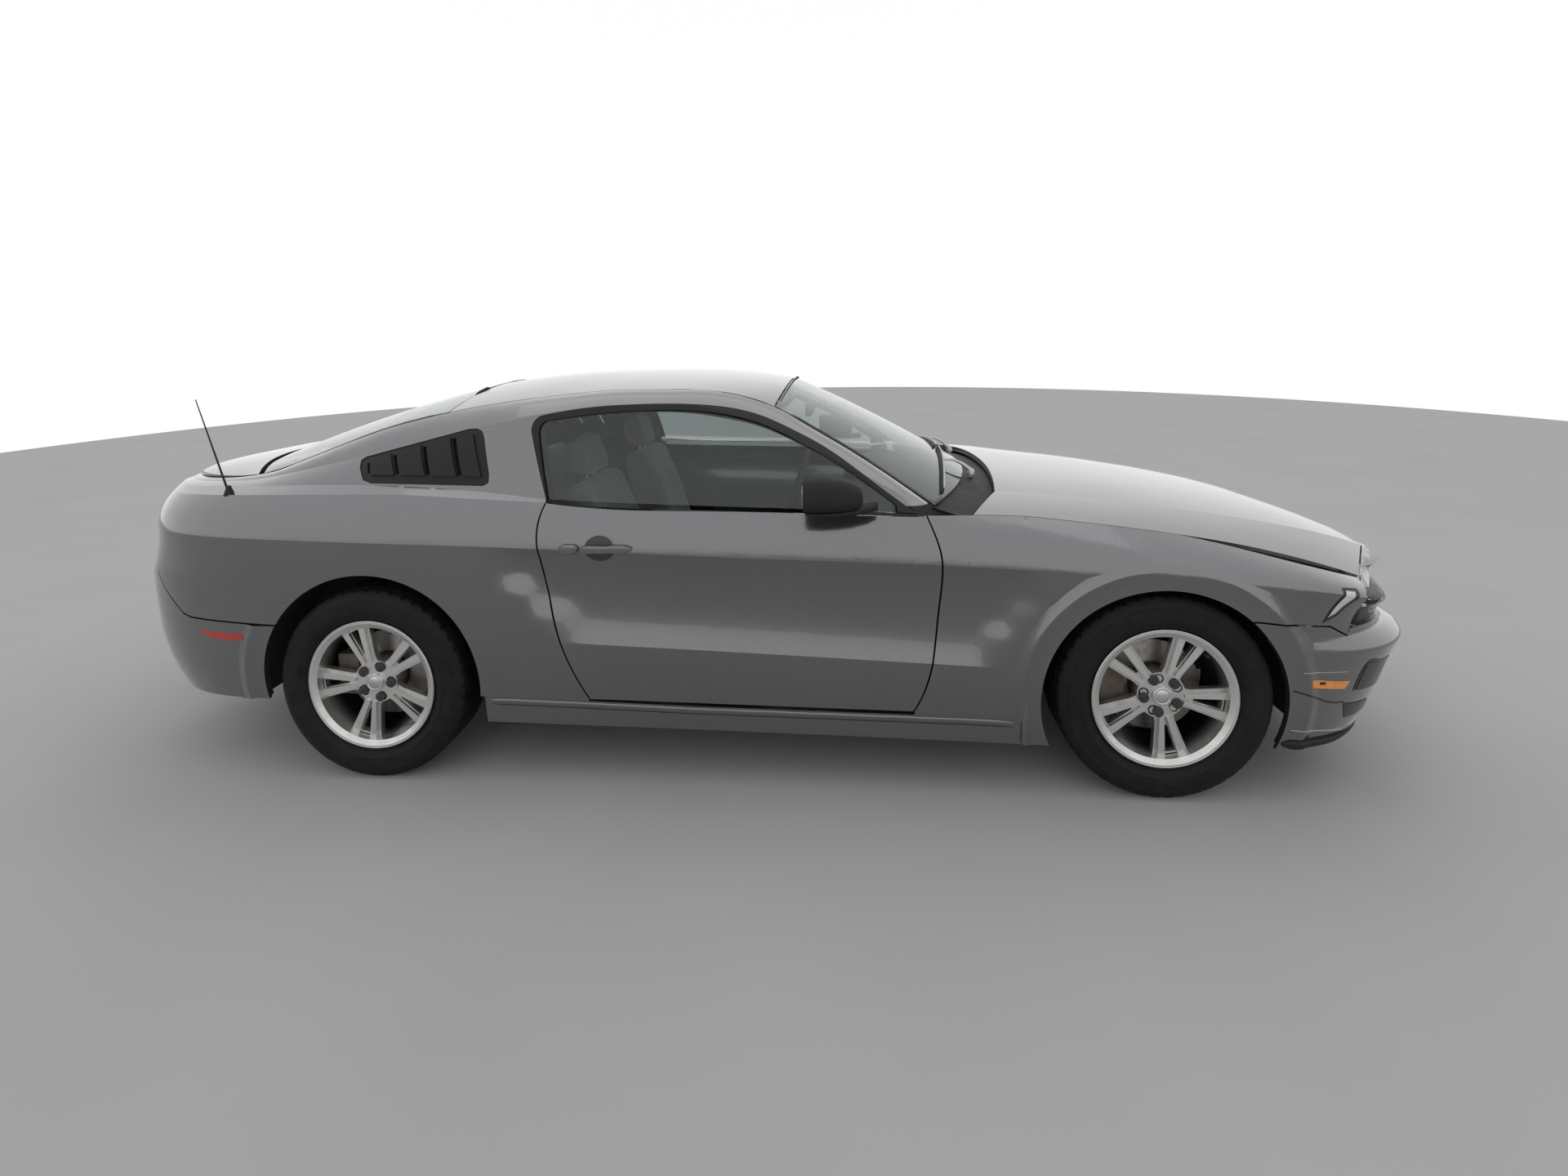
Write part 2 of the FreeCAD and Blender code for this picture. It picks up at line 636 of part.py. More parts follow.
def greenhouse_strips(stations):
    shelf, band, rail = [], [], []
    for s in stations:
        shoulder = skin(s, SHOULDER_Z(nominal_x(s)))
        foot = level_point(s, FOOT_Y, FOOT_Z)
        cant = level_point(s, CANT_Y, CANT_Z)
        top = level_point(s, RAIL_Y, RAIL_Z)
        shelf.append([mix_point(shoulder, foot, t) for t in (0.0, 0.5, 1.0)])
        band.append([bowed(foot, cant, t, BAND_BULGE_SHARE, 0.2) for t in ROW_SHARES])
        rail.append([bowed(cant, top, t, RAIL_BULGE_SHARE, 0.7) for t in ROW_SHARES])
    return [shelf, band, rail]


def body_side():
    """Quarter panel with its pillar, roof rail and windscreen pillar, in one pressing."""
    stations = [TAIL_CORNER + 0.07 * i for i in range(8)] + [-1.03]
    stations += [station(x) for x in steps(-ROUND_START_REAR, PILLAR_FOOT_X, 40)]
    strips = [side_strip(stations, SILL_Z, CREASE_Z), side_strip(stations, CREASE_Z, WAIST_Z),
              side_strip(stations, WAIST_Z, SHOULDER_Z)] + greenhouse_strips(stations)
    return thick(strips, PILLAR_WALL)


PILLAR_FOOT_X = 0.306 * HALF_LENGTH
SEAL_TOP = places(SEAL_TOP_SHARES)
GLASS_TOP = places(GLASS_TOP_SHARES)
LOUVRE = places(LOUVRE_SHARES)


def window_block(top, gap, low_gap):
    """Space of the side window; the gap grows it, low_gap lowers its foot line."""
    middle_x = (top[0][0] + top[-1][0]) / 2
    middle_z = (top[0][1] + top[5][1]) / 2
    grown = []
    for x, z in top:
        away = V(x - middle_x, 0, z - middle_z)
        away.normalize()
        grown.append((x + away.x * gap, z + away.z * gap))
    foot = [(grown[-1][0], grown[-1][1] - low_gap), (grown[0][0], grown[0][1] - low_gap)]
    return outline_y([grown[:2], grown[1:4], grown[3:], foot], RIGHT_OUT, -HALF_WIDTH / 2)


SILL_TOP = places(SILL_TOP_SHARES)
WINDOW_SPACE = window_block(SEAL_TOP, 0.0, SHUT_GAP * 8)
SILL_SPACE = prism_y([(SILL_TOP[0][0] - LAP * 2, SILL_TOP[0][1])] + SILL_TOP + [(SILL_TOP[-1][0], 0.0),
                     (SILL_TOP[0][0] - LAP * 2, 0.0)], RIGHT_OUT, HALF_WIDTH + OVERRUN)
rear_edge = [(x - SHUT_GAP, z) for x, z in DOOR_REAR]
AHEAD_OF_REAR_EDGE = outline_y([list(reversed(rear_edge)),
                                [rear_edge[0], (HALF_LENGTH, BELT[-1][1])],
                                [(HALF_LENGTH, BELT[-1][1]), (HALF_LENGTH, 0.0)],
                                [(HALF_LENGTH, 0.0), (rear_edge[-1][0], 0.0)]], RIGHT_OUT, -HALF_WIDTH / 2)

rear_cut = places(REAR_BUMPER_CUT_SHARES)
REAR_BUMPER_SPACE = prism_y(rear_cut + [(rear_cut[-1][0] + OVERRUN / 2, rear_cut[-1][1]),
                                        (rear_cut[-1][0] + OVERRUN / 2, -OVERRUN), (-HALF_LENGTH - OVERRUN,
                                                                                    -OVERRUN),
                                        (-HALF_LENGTH - OVERRUN, rear_cut[0][1])],
                            RIGHT_OUT, HALF_WIDTH + OVERRUN)


def pane_outline(points, shrink):
    """Outline drawn in towards its middle by a fixed distance at each corner."""
    mx = sum(p[0] for p in points) / len(points)
    mz = sum(p[1] for p in points) / len(points)
    out = []
    for x, z in points:
        way = V(mx - x, 0, mz - z)
        way.normalize()
        out.append((x + way.x * shrink, z + way.z * shrink))
    return out


side = body_side()
side = side.cut(AHEAD_OF_REAR_EDGE).cut(WINDOW_SPACE).cut(SILL_SPACE)
side = side.cut(ARCH_REAR_CUT).cut(REAR_BUMPER_SPACE)
LOUVRE_SPACE = prism_y(LOUVRE, RIGHT_OUT, -HALF_WIDTH / 2)
side = side.cut(LOUVRE_SPACE)
rear_flare = flare(ARCH_X_REAR, ARCH_Z_REAR, ARCH_RADIUS_REAR, math.radians(-8), math.radians(188))
side = side.fuse(rear_flare.cut(REAR_BUMPER_SPACE))
largest = max(side.Solids, key=lambda solid: solid.Volume)
write_pair("quarter_panel", largest)

# Front fender
front_cut = places(FRONT_BUMPER_CUT_SHARES)
lamp_edge = places(LAMP_EDGE_SHARES)
FRONT_END_OUTLINE = ([(front_cut[0][0] - LAP, front_cut[0][1])] + front_cut + list(reversed(lamp_edge))[1:]
                     + [(lamp_edge[0][0], HEIGHT), (HALF_LENGTH + OVERRUN, HEIGHT), (HALF_LENGTH + OVERRUN,
                                                                                     -OVERRUN),
                        (front_cut[0][0] - LAP, -OVERRUN)])
FRONT_END_SPACE = prism_y(FRONT_END_OUTLINE, RIGHT_OUT, HALF_WIDTH + OVERRUN)
front_flare = flare(ARCH_X_FRONT, ARCH_Z_FRONT, ARCH_RADIUS_FRONT, math.radians(-12), math.radians(200))
fender_stations = [station(x) for x in steps(DOOR_FRONT[3][0] - LAP * 2, ROUND_START_FRONT, 18)]
fender_stations += [1 + 0.06 * i for i in range(1, 9)]
fender = side_panel(fender_stations, PANEL_WALL)
front_edge = [(x + SHUT_GAP, z) for x, z in DOOR_FRONT]
front_edge = [(front_edge[0][0] - SHUT_GAP, HEIGHT)] + front_edge + [(front_edge[-1][0], 0.0)]
BEHIND_FRONT_EDGE = outline_y([front_edge[:2], front_edge[1:-1], front_edge[-2:],
                               [(front_edge[-1][0], 0.0), (0.0, 0.0)], [(0.0, 0.0), (0.0, HEIGHT)],
                               [(0.0, HEIGHT), front_edge[0]]], RIGHT_OUT, -HALF_WIDTH / 2)
fender = fender.cut(BEHIND_FRONT_EDGE).cut(ARCH_FRONT_CUT)
fender = fender.fuse(front_flare).cut(FRONT_END_SPACE).cut(SILL_SPACE)
fender = max(fender.Solids, key=lambda solid: solid.Volume)


def end_strip(stations, heights):
    """Strip of rounded end from the right side round to the left."""
    right = [[skin(s, z) for z in heights] for s in stations]
    left = [[V(p.x, -p.y, p.z) for p in row] for row in reversed(right[:-1])]
    return right + left


def height_steps(shares, parts):
    rows = []
    for a, b in zip(shares, shares[1:]):
        rows.append([z * HEIGHT for z in steps(a, b, parts)])
    return rows


# Front bumper skin
HEADER_LEVELS = (0.396, 0.425, 0.460, 0.490, 0.515, 0.532, 0.548)
HEADER_FOOT = 0.403 * HEIGHT
bumper_front_stations = [1 + i / 16 for i in range(17)]
NOSE_LEVELS = (0.130, 0.180, 0.235, 0.285, 0.325, 0.352, 0.372, 0.388, 0.404, 0.430)
bands = [end_strip(bumper_front_stations, rows) for rows in height_steps(NOSE_LEVELS, 2)]
front_bumper = thick(bands, BUMPER_WALL)
above_bumper = prism_y([(front_cut[0][0] - OVERRUN, front_cut[0][1] - SHUT_GAP)]
                       + [(x, z - SHUT_GAP) for x, z in front_cut]
                       + [(front_cut[-1][0] + SHUT_GAP, HEADER_FOOT - SEAT_GAP),
                          (HALF_LENGTH + OVERRUN, HEADER_FOOT - SEAT_GAP), (HALF_LENGTH + OVERRUN, HEIGHT),
                          (front_cut[0][0] - OVERRUN, HEIGHT)], RIGHT_OUT, HALF_WIDTH + OVERRUN)
front_bumper = front_bumper.cut(above_bumper)
front_bumper = front_bumper.cut(disc_y(ARCH_RADIUS_FRONT, ARCH_X_FRONT, ARCH_Z_FRONT, -HALF_WIDTH - OVERRUN,
                                       HALF_WIDTH + OVERRUN))
lip = front_flare.cut(above_bumper).common(FRONT_END_SPACE)
for solid in lip.Solids:
    front_bumper = front_bumper.fuse([solid, mirrored(solid)])
INTAKE_LOW = 0.150 * HEIGHT
INTAKE_HIGH = 0.235 * HEIGHT
INTAKE_HALF_WIDTH = 0.50 * HALF_WIDTH
intake = box(ROUND_START_FRONT, HALF_LENGTH + OVERRUN, -INTAKE_HALF_WIDTH, INTAKE_HALF_WIDTH, INTAKE_LOW,
             INTAKE_HIGH)
front_bumper = front_bumper.cut(intake)
front_bumper = max(front_bumper.Solids, key=lambda solid: solid.Volume)
MARKER_WALL = 10.0
MARKER_PROUD = 2.0
FRONT_MARKER_SHARES = ((0.7786, 0.3024), (0.8371, 0.2882), (0.8296, 0.2712), (0.7795, 0.2833))
REAR_MARKER_SHARES = ((-0.8062, 0.3831), (-0.7297, 0.3782), (-0.7322, 0.3612), (-0.7828, 0.3633))


def marker(bands, shares):
    """Side marker lamp let into the bumper skin."""
    outline = places(shares)
    lens = thick(bands, MARKER_WALL, -MARKER_PROUD).common(prism_y(pane_outline(outline, SEAT_GAP),
                                                                   RIGHT_OUT, 0.0))
    return max(lens.Solids, key=lambda solid: solid.Volume), prism_y(outline, RIGHT_OUT, 0.0)


front_marker, front_marker_hole = marker(bands, FRONT_MARKER_SHARES)
front_bumper = front_bumper.cut(front_marker_hole).cut(mirrored(front_marker_hole))
write("front_bumper", front_bumper)
write_both("front_markers", front_marker)

# Rear bumper skin
bumper_rear_stations = [-1 - i / 16 for i in range(17)]
TAIL_LEVELS = (0.205, 0.283, 0.390, 0.506, 0.537, 0.580)
bands = [end_strip(bumper_rear_stations, rows) for rows in height_steps(TAIL_LEVELS, 2)]
rear_bumper = thick(bands, BUMPER_WALL)
above_rear = [(x, z - SHUT_GAP) for x, z in rear_cut]
above_rear = ([(-HALF_LENGTH - OVERRUN, rear_cut[0][1] - SHUT_GAP)] + above_rear
              + [(0.0, above_rear[-1][1]), (0.0, HEIGHT), (-HALF_LENGTH - OVERRUN, HEIGHT)])
above_rear = prism_y(above_rear, RIGHT_OUT, HALF_WIDTH + OVERRUN)
rear_bumper = rear_bumper.cut(above_rear)
rear_bumper = rear_bumper.cut(disc_y(ARCH_RADIUS_REAR, ARCH_X_REAR, ARCH_Z_REAR, -HALF_WIDTH - OVERRUN,
                                     HALF_WIDTH + OVERRUN))
lip = rear_flare.cut(above_rear).common(REAR_BUMPER_SPACE)
for solid in lip.Solids:
    rear_bumper = rear_bumper.fuse([solid, mirrored(solid)])
rear_bumper = max(rear_bumper.Solids, key=lambda solid: solid.Volume)
rear_marker, rear_marker_hole = marker(bands, REAR_MARKER_SHARES)
rear_bumper = rear_bumper.cut(rear_marker_hole).cut(mirrored(rear_marker_hole))
PLATE_HOLE_SPACING = 177.8
PLATE_HOLE_RADIUS = 3.2
PLATE_HOLE_Z = 0.48 * HEIGHT
for sign in (-1, 1):
    rear_bumper = rear_bumper.cut(Part.makeCylinder(PLATE_HOLE_RADIUS, OVERRUN, V(-HALF_LENGTH - OVERRUN / 2,
                                                    sign * PLATE_HOLE_SPACING / 2, PLATE_HOLE_Z), V(1, 0, 0)))
write("rear_bumper", rear_bumper)
write_both("rear_markers", rear_marker)

# Top panels
CROWN_POWER = 2.2
ACROSS = [i / 5 for i in range(-5, 6)]


def crowned(edges, centres, edge_share, power=CROWN_POWER):
    """Grid of a panel that spans the car, from right edge places and centre places at each station."""
    grid = []
    for edge, centre in zip(edges, centres):
        row = []
        for v in ACROSS:
            share = abs(v * edge_share) ** power
            row.append(V(mix(centre.x, edge.x, share), edge.y * v * edge_share, mix(centre.z, edge.z, share)))
        grid.append(row)
    return grid


def rail_at(x):
    return V(x, RAIL_Y(x), RAIL_Z(x))


ROOF_REAR_X = -0.462 * HALF_LENGTH
ROOF_FRONT_X = 0.057 * HALF_LENGTH
ROOF_CENTRE_REAR_X = -0.460 * HALF_LENGTH
ROOF_CENTRE_FRONT_X = 0.069 * HALF_LENGTH
DITCH_SHARE = 0.992
roof_edges = [rail_at(x) for x in steps(ROOF_REAR_X, ROOF_FRONT_X, 12)]
roof_centres = [V(x, 0, ROOF_Z(x)) for x in steps(ROOF_CENTRE_REAR_X, ROOF_CENTRE_FRONT_X, 12)]
roof_panel = thick([crowned(roof_edges, roof_centres, DITCH_SHARE)], ROOF_WALL)

# Windscreen and rear window
SCREEN_FOOT_X = 0.290 * HALF_LENGTH
SCREEN_CENTRE_FOOT = (0.375, 0.700)
SCREEN_BOW = 14.0
GLASS_INSET_SHARE = 0.985
screen_edges = [rail_at(x) for x in steps(ROOF_FRONT_X + SHUT_GAP, SCREEN_FOOT_X, 8)]
screen_centres = [V(mix(ROOF_CENTRE_FRONT_X + SHUT_GAP, SCREEN_CENTRE_FOOT[0] * HALF_LENGTH, t), 0,
                    mix(ROOF_Z(ROOF_CENTRE_FRONT_X) - SHUT_GAP / 2, SCREEN_CENTRE_FOOT[1] * HEIGHT, t)
                    + SCREEN_BOW * 4 * t * (1 - t)) for t in steps(0.0, 1.0, 8)]
windshield = thick([crowned(screen_edges, screen_centres, GLASS_INSET_SHARE)], GLASS_WALL)
write("windshield", windshield)
BACK_FOOT_X = -0.766 * HALF_LENGTH
BACK_CENTRE_FOOT = (-0.862, 0.772)
BACK_BOW = 22.0
back_edges = [rail_at(x) for x in steps(ROOF_REAR_X - SHUT_GAP, BACK_FOOT_X, 8)]
back_centres = [V(mix(ROOF_CENTRE_REAR_X - SHUT_GAP, BACK_CENTRE_FOOT[0] * HALF_LENGTH, t), 0,
                  mix(ROOF_Z(ROOF_CENTRE_REAR_X) - SHUT_GAP / 2, BACK_CENTRE_FOOT[1] * HEIGHT, t)
                  + BACK_BOW * 4 * t * (1 - t)) for t in steps(0.0, 1.0, 8)]
rear_window = thick([crowned(back_edges, back_centres, GLASS_INSET_SHARE)], GLASS_WALL)
write("rear_window", rear_window)

# Roof bows: cross the car under the roof's ends and carry the glass edges
BOW_REACH = 12.0
BOW_LENGTH = 60.0
BOW_DEPTH = 30.0
GLASS_SLOPE = 1.35


def roof_bow(roof_x, sign):
    """Cross member between the roof rails, reaching under the edge of the glass."""
    end_x = roof_x + sign * (SHUT_GAP + BOW_REACH)
    top = RAIL_Z(end_x) - GLASS_WALL * GLASS_SLOPE - SEAT_GAP
    half = RAIL_Y(end_x)
    bow = box(min(end_x, end_x - sign * BOW_LENGTH), max(end_x, end_x - sign * BOW_LENGTH), -half, half,
              top - BOW_DEPTH, top)
    return bow


roof_panel = roof_panel.fuse([roof_bow(ROOF_FRONT_X, 1), roof_bow(ROOF_REAR_X, -1)])
for side_panel_body, inwards in ((largest, SEAT_GAP), (mirrored(largest), -SEAT_GAP)):
    roof_panel = roof_panel.cut(side_panel_body).cut(moved(side_panel_body, 0.0, inwards))
write("roof_panel", biggest(roof_panel))

# Hood: a raised centre between two creases
HOOD_REAR_X = 0.343 * HALF_LENGTH
HOOD_FRONT_X = 0.868 * HALF_LENGTH
HOOD_CREASE_REAR_X = 0.395 * HALF_LENGTH
HOOD_CREASE_FRONT_X = 0.945 * HALF_LENGTH
HOOD_CENTRE_REAR_X = 0.418 * HALF_LENGTH
HOOD_CENTRE_FRONT_X = 0.949 * HALF_LENGTH
hood_left, hood_middle, hood_right = [], [], []
for t in steps(0.0, 1.0, 14):
    edge_x = mix(HOOD_REAR_X, HOOD_FRONT_X, t)
    crease_x = mix(HOOD_CREASE_REAR_X, HOOD_CREASE_FRONT_X, t)
    centre_x = mix(HOOD_CENTRE_REAR_X, HOOD_CENTRE_FRONT_X, t)
    edge = V(edge_x, -SHOULDER_Y(edge_x) + SHUT_GAP, SHOULDER_Z(edge_x))
    crease = V(crease_x, -HOOD_CREASE_Y(crease_x), HOOD_CREASE_Z(crease_x))
    centre = V(centre_x, 0, HOOD_Z(centre_x))
    side_row = [bowed(edge, crease, a, 0.012, 1.0) for a in steps(0.0, 1.0, 3)]
    half_row = [V(mix(crease.x, centre.x, 1 - v * v), crease.y * v, mix(crease.z, centre.z, 1 - v ** 2.4))
                for v in (1.0, 0.8, 0.6, 0.4, 0.2)]
    middle = half_row + [centre] + [V(p.x, -p.y, p.z) for p in reversed(half_row)]
    hood_left.append(side_row)
    hood_middle.append(middle)
    hood_right.append([V(p.x, -p.y, p.z) for p in reversed(side_row)])
hood = thick([hood_left, hood_middle, hood_right], HOOD_WALL)
write("hood", hood)
for shift in (V(0, 0, 0), V(0, -SHUT_GAP, 0), V(0, -SHUT_GAP, -SHUT_GAP), V(0, 0, -SHUT_GAP)):
    fender = fender.cut(moved(hood, shift.x, shift.y, shift.z))
fender = biggest(fender)
write_pair("fender", fender)

# Deck
DECK_POWER = 3.0


def deck_z(x, y):
    edge = abs(y) / RAIL_Y(x)
    return DECK_Z(x) - (DECK_Z(x) - RAIL_Z(max(x, -HALF_LENGTH))) * edge ** DECK_POWER


def end_share(x):
    """How far the tail's rounding draws the deck in at x."""
    height = SHOULDER_Z(x)
    return plan_y(x, height) / skin_y(x, height)


LID_FRONT_SIDE_X = -0.779 * HALF_LENGTH
LID_FRONT_CENTRE_X = -0.874 * HALF_LENGTH
LID_REAR_SIDE_X = -0.915 * HALF_LENGTH
LID_REAR_CENTRE_X = -0.964 * HALF_LENGTH
lid_grid = []
for t in steps(0.0, 1.0, 6):
    row = []
    side_at = mix(LID_FRONT_SIDE_X, LID_REAR_SIDE_X, t)
    half = RAIL_Y(side_at) * end_share(side_at) - SHUT_GAP
    for v in ACROSS:
        front = mix(LID_FRONT_CENTRE_X, LID_FRONT_SIDE_X, abs(v) ** CROWN_POWER)
        rear = mix(LID_REAR_CENTRE_X, LID_REAR_SIDE_X, abs(v) ** DECK_POWER)
        x = mix(front, rear, t)
        row.append(V(x, v * half, deck_z(x, v * half)))
    lid_grid.append(row)
write("deck_lid", thick([lid_grid], LID_WALL))


# Tail panel and lamps
TAIL_PANEL_LEVELS = (0.582, 0.623, 0.680, 0.704)
TAIL_PANEL_WALL = 18.0
LAMP_FIT = SEAT_GAP
tail_stations = [TAIL_CORNER - 0.01, -1.66, -1.74, -1.82, -1.9, -1.96, -2.0]
tail_bands = [end_strip(tail_stations, rows) for rows in height_steps(TAIL_PANEL_LEVELS, 2)]
tail_panel = thick(tail_bands, TAIL_PANEL_WALL)
TAIL_LAMP_INNER = 0.36 * HALF_WIDTH
TAIL_LAMP_OUTER = 0.625 * HALF_WIDTH
TAIL_LAMP_LOW = 0.605 * HEIGHT
TAIL_LAMP_HIGH = 0.688 * HEIGHT
for sign in (-1, 1):
    lamp_y = sorted((sign * TAIL_LAMP_INNER, sign * TAIL_LAMP_OUTER))
    opening = box(-HALF_LENGTH - OVERRUN, -ROUND_START_REAR, lamp_y[0], lamp_y[1], TAIL_LAMP_LOW,
                  TAIL_LAMP_HIGH)
    tail_panel = tail_panel.cut(opening)
write("tail_panel", tail_panel)
lamp_skin = thick(tail_bands, TAIL_PANEL_WALL * 2, TAIL_PANEL_WALL / 6)
lamp = lamp_skin.common(box(-HALF_LENGTH - OVERRUN, -ROUND_START_REAR, -TAIL_LAMP_OUTER + LAMP_FIT,
                            -TAIL_LAMP_INNER - LAMP_FIT, TAIL_LAMP_LOW + LAMP_FIT, TAIL_LAMP_HIGH - LAMP_FIT))
write_both("tail_lamps", lamp)

# Nose: face between the lamps, lamps and grille
HEADER_WALL = 26.0
header_stations = [1.28, 1.36, 1.44, 1.5, 1.56, 1.64, 1.74, 1.86, 2.0]
header_bands = [end_strip(header_stations, rows) for rows in height_steps(HEADER_LEVELS, 2)]
header = thick(header_bands, HEADER_WALL)
HEADER_TOP_SHARES = ((0.000, 0.546), (0.250, 0.543), (0.450, 0.534), (0.550, 0.527), (0.640, 0.519), (0.760,
                                                                                                      0.505),
                     (0.900, 0.495))
header_top = [(-a * HALF_WIDTH, b * HEIGHT) for a, b in HEADER_TOP_SHARES]
header_front_view = ([(-HALF_WIDTH, HEADER_FOOT)] + list(reversed(header_top)) + [(-y, z) for y,
                                                                                  z in header_top[1:]]
                     + [(HALF_WIDTH, HEADER_FOOT)])
header = header.common(prism_x(header_front_view, ROUND_START_FRONT, HALF_LENGTH))
for shift in (V(SHUT_GAP, 0, 0), V(0, 0, -SHUT_GAP), V(SHUT_GAP, 0, -SHUT_GAP)):
    header = header.cut(moved(hood, shift.x, shift.y, shift.z))
lamp_back = places(LAMP_EDGE_SHARES, SHUT_GAP, 0.0)
header = header.cut(prism_y([lamp_back[0], lamp_back[1], lamp_back[2],
                             (0.0, lamp_back[2][1]), (0.0, lamp_back[0][1])],
                            RIGHT_OUT, HALF_WIDTH + OVERRUN))
HEADLAMP_PLAN_SHARES = ((0.800, 0.980), (0.935, 0.900), (1.000, 0.560), (0.900, 0.500), (0.780, 0.700))
HEADLAMP_LOW = 0.412 * HEIGHT
HEADLAMP_HIGH = 0.497 * HEIGHT
LENS_WALL = 9.0


def headlamp_block(fit):
    outline = [(a * HALF_LENGTH, -b * HALF_WIDTH) for a, b in HEADLAMP_PLAN_SHARES]
    return prism_z(outline, HEADLAMP_LOW + fit, HEADLAMP_HIGH - fit)


opening = headlamp_block(0.0)
header = header.cut(opening).cut(mirrored(opening))
GRILLE_HALF_WIDTH = 0.48 * HALF_WIDTH
GRILLE_LOW = 0.412 * HEIGHT
GRILLE_HIGH = 0.490 * HEIGHT
header = header.cut(box(ROUND_START_FRONT, HALF_LENGTH + OVERRUN, -GRILLE_HALF_WIDTH, GRILLE_HALF_WIDTH,
                        GRILLE_LOW,
                        GRILLE_HIGH))
header = max(header.Solids, key=lambda solid: solid.Volume)
write("nose_panel", header)
headlamp = thick(header_bands, LENS_WALL, HEADER_WALL / 5).common(headlamp_block(LAMP_FIT))
headlamp = headlamp.cut(prism_y([lamp_back[0], lamp_back[1], lamp_back[2], (0.0, lamp_back[2][1]),
                                 (0.0, lamp_back[0][1])], RIGHT_OUT, 0.0))
write_both("headlamps", max(headlamp.Solids, key=lambda solid: solid.Volume))

GRILLE_BARS = 5
GRILLE_WALL = 14.0
GRILLE_BAR = 7.0
GRILLE_FRAME = 12.0
GRILLE_INSET = 27.0
grille_x = NOSE_X(GRILLE_LOW) - GRILLE_INSET
grille = box(grille_x - GRILLE_WALL, grille_x, -GRILLE_HALF_WIDTH - GRILLE_FRAME,
             GRILLE_HALF_WIDTH + GRILLE_FRAME,
             GRILLE_LOW - GRILLE_FRAME, GRILLE_HIGH + GRILLE_FRAME)
bar_pitch = (GRILLE_HIGH - GRILLE_LOW + GRILLE_BAR) / GRILLE_BARS
for row in range(GRILLE_BARS):
    low = GRILLE_LOW + row * bar_pitch
    grille = grille.cut(box(grille_x - OVERRUN, grille_x + OVERRUN, -GRILLE_HALF_WIDTH, GRILLE_HALF_WIDTH,
                            low,
                            low + bar_pitch - GRILLE_BAR))
for column in range(1, 12):
    y = -GRILLE_HALF_WIDTH + 2 * GRILLE_HALF_WIDTH * column / 12
    grille = grille.fuse(box(grille_x - GRILLE_WALL, grille_x, y - GRILLE_BAR / 2, y + GRILLE_BAR / 2,
                             GRILLE_LOW - GRILLE_BAR, GRILLE_HIGH + GRILLE_BAR))
grille = grille.cut(moved(header, -SEAT_GAP))
write("grille", max(grille.Solids, key=lambda solid: solid.Volume))

# Side window: seal on the body, glass on the door
SEAL_WALL = 30.0
SEAL_LIP_DEPTH = 15.0
SEAL_LIP = 10.0
GLASS_SUNK = 4.0
GLASS_THICK = 5.0
GLASS_EDGE_GAP = 6.0
band_stations = [station(x) for x in steps(SEAL_TOP[1][0] - LAP, PILLAR_FOOT_X, 24)]
band_grids = greenhouse_strips(band_stations)


def side_band(sunk, wall):
    return thick(band_grids[1:], wall, sunk)


seal_form = window_block(SEAL_TOP, -SEAT_GAP, 0.0)
glass_form = window_block(GLASS_TOP, 0.0, LAP)
glass_space = window_block(GLASS_TOP, GLASS_EDGE_GAP, LAP)
lip_hole = window_block(GLASS_TOP, -SEAL_LIP, LAP)
above_belt = outline_y([[(x, z + SEAT_GAP) for x, z in BELT], [(HALF_LENGTH, BELT[-1][1]), (HALF_LENGTH,
                                                                                            HEIGHT)],
                        [(HALF_LENGTH, HEIGHT), (-HALF_LENGTH, HEIGHT)], [(-HALF_LENGTH, HEIGHT),
                         (-HALF_LENGTH, BELT[0][1])]], RIGHT_OUT, -HALF_WIDTH / 2)
glass = side_band(GLASS_SUNK, GLASS_THICK).common(glass_form).common(above_belt)
write_pair("door_glass", max(glass.Solids, key=lambda solid: solid.Volume))
above_belt_gap = moved(above_belt, z=SHUT_GAP)
seal = side_band(0.0, SEAL_LIP_DEPTH).common(seal_form).cut(glass_space)
lip_ring = side_band(SEAL_LIP_DEPTH, SEAL_WALL - SEAL_LIP_DEPTH).common(seal_form).cut(lip_hole)
seal = seal.fuse(lip_ring).common(above_belt_gap)
write_both("window_seals", max(seal.Solids, key=lambda solid: solid.Volume))

# Louvre in the quarter: a sunk plate with four slots, and a raised vane beside each slot
LOUVRE_WALL = 26.0
LOUVRE_SUNK = 3.0
VANE_RISE = 7.0
louvre_ends = (min(x for x, z in LOUVRE) - SHUT_GAP * 4, max(x for x, z in LOUVRE) + SHUT_GAP * 4)
louvre_grids = greenhouse_strips([station(x) for x in steps(louvre_ends[0], louvre_ends[1], 10)])
louvre = thick(louvre_grids[1:], LOUVRE_WALL, LOUVRE_SUNK)
louvre = louvre.common(prism_y(pane_outline(LOUVRE, SEAT_GAP), RIGHT_OUT, -HALF_WIDTH / 2))
vane_skin = thick(louvre_grids[1:], LOUVRE_WALL / 2, LOUVRE_SUNK - VANE_RISE)
for outline in LOUVRE_VANE_SHARES:
    louvre = louvre.fuse(vane_skin.common(prism_y(places(outline), RIGHT_OUT, -HALF_WIDTH / 2)))
for outline in LOUVRE_SLOT_SHARES:
    louvre = louvre.cut(prism_y(places(outline), RIGHT_OUT, -HALF_WIDTH / 2))
write_both("quarter_louvres", max(louvre.Solids, key=lambda solid: solid.Volume))

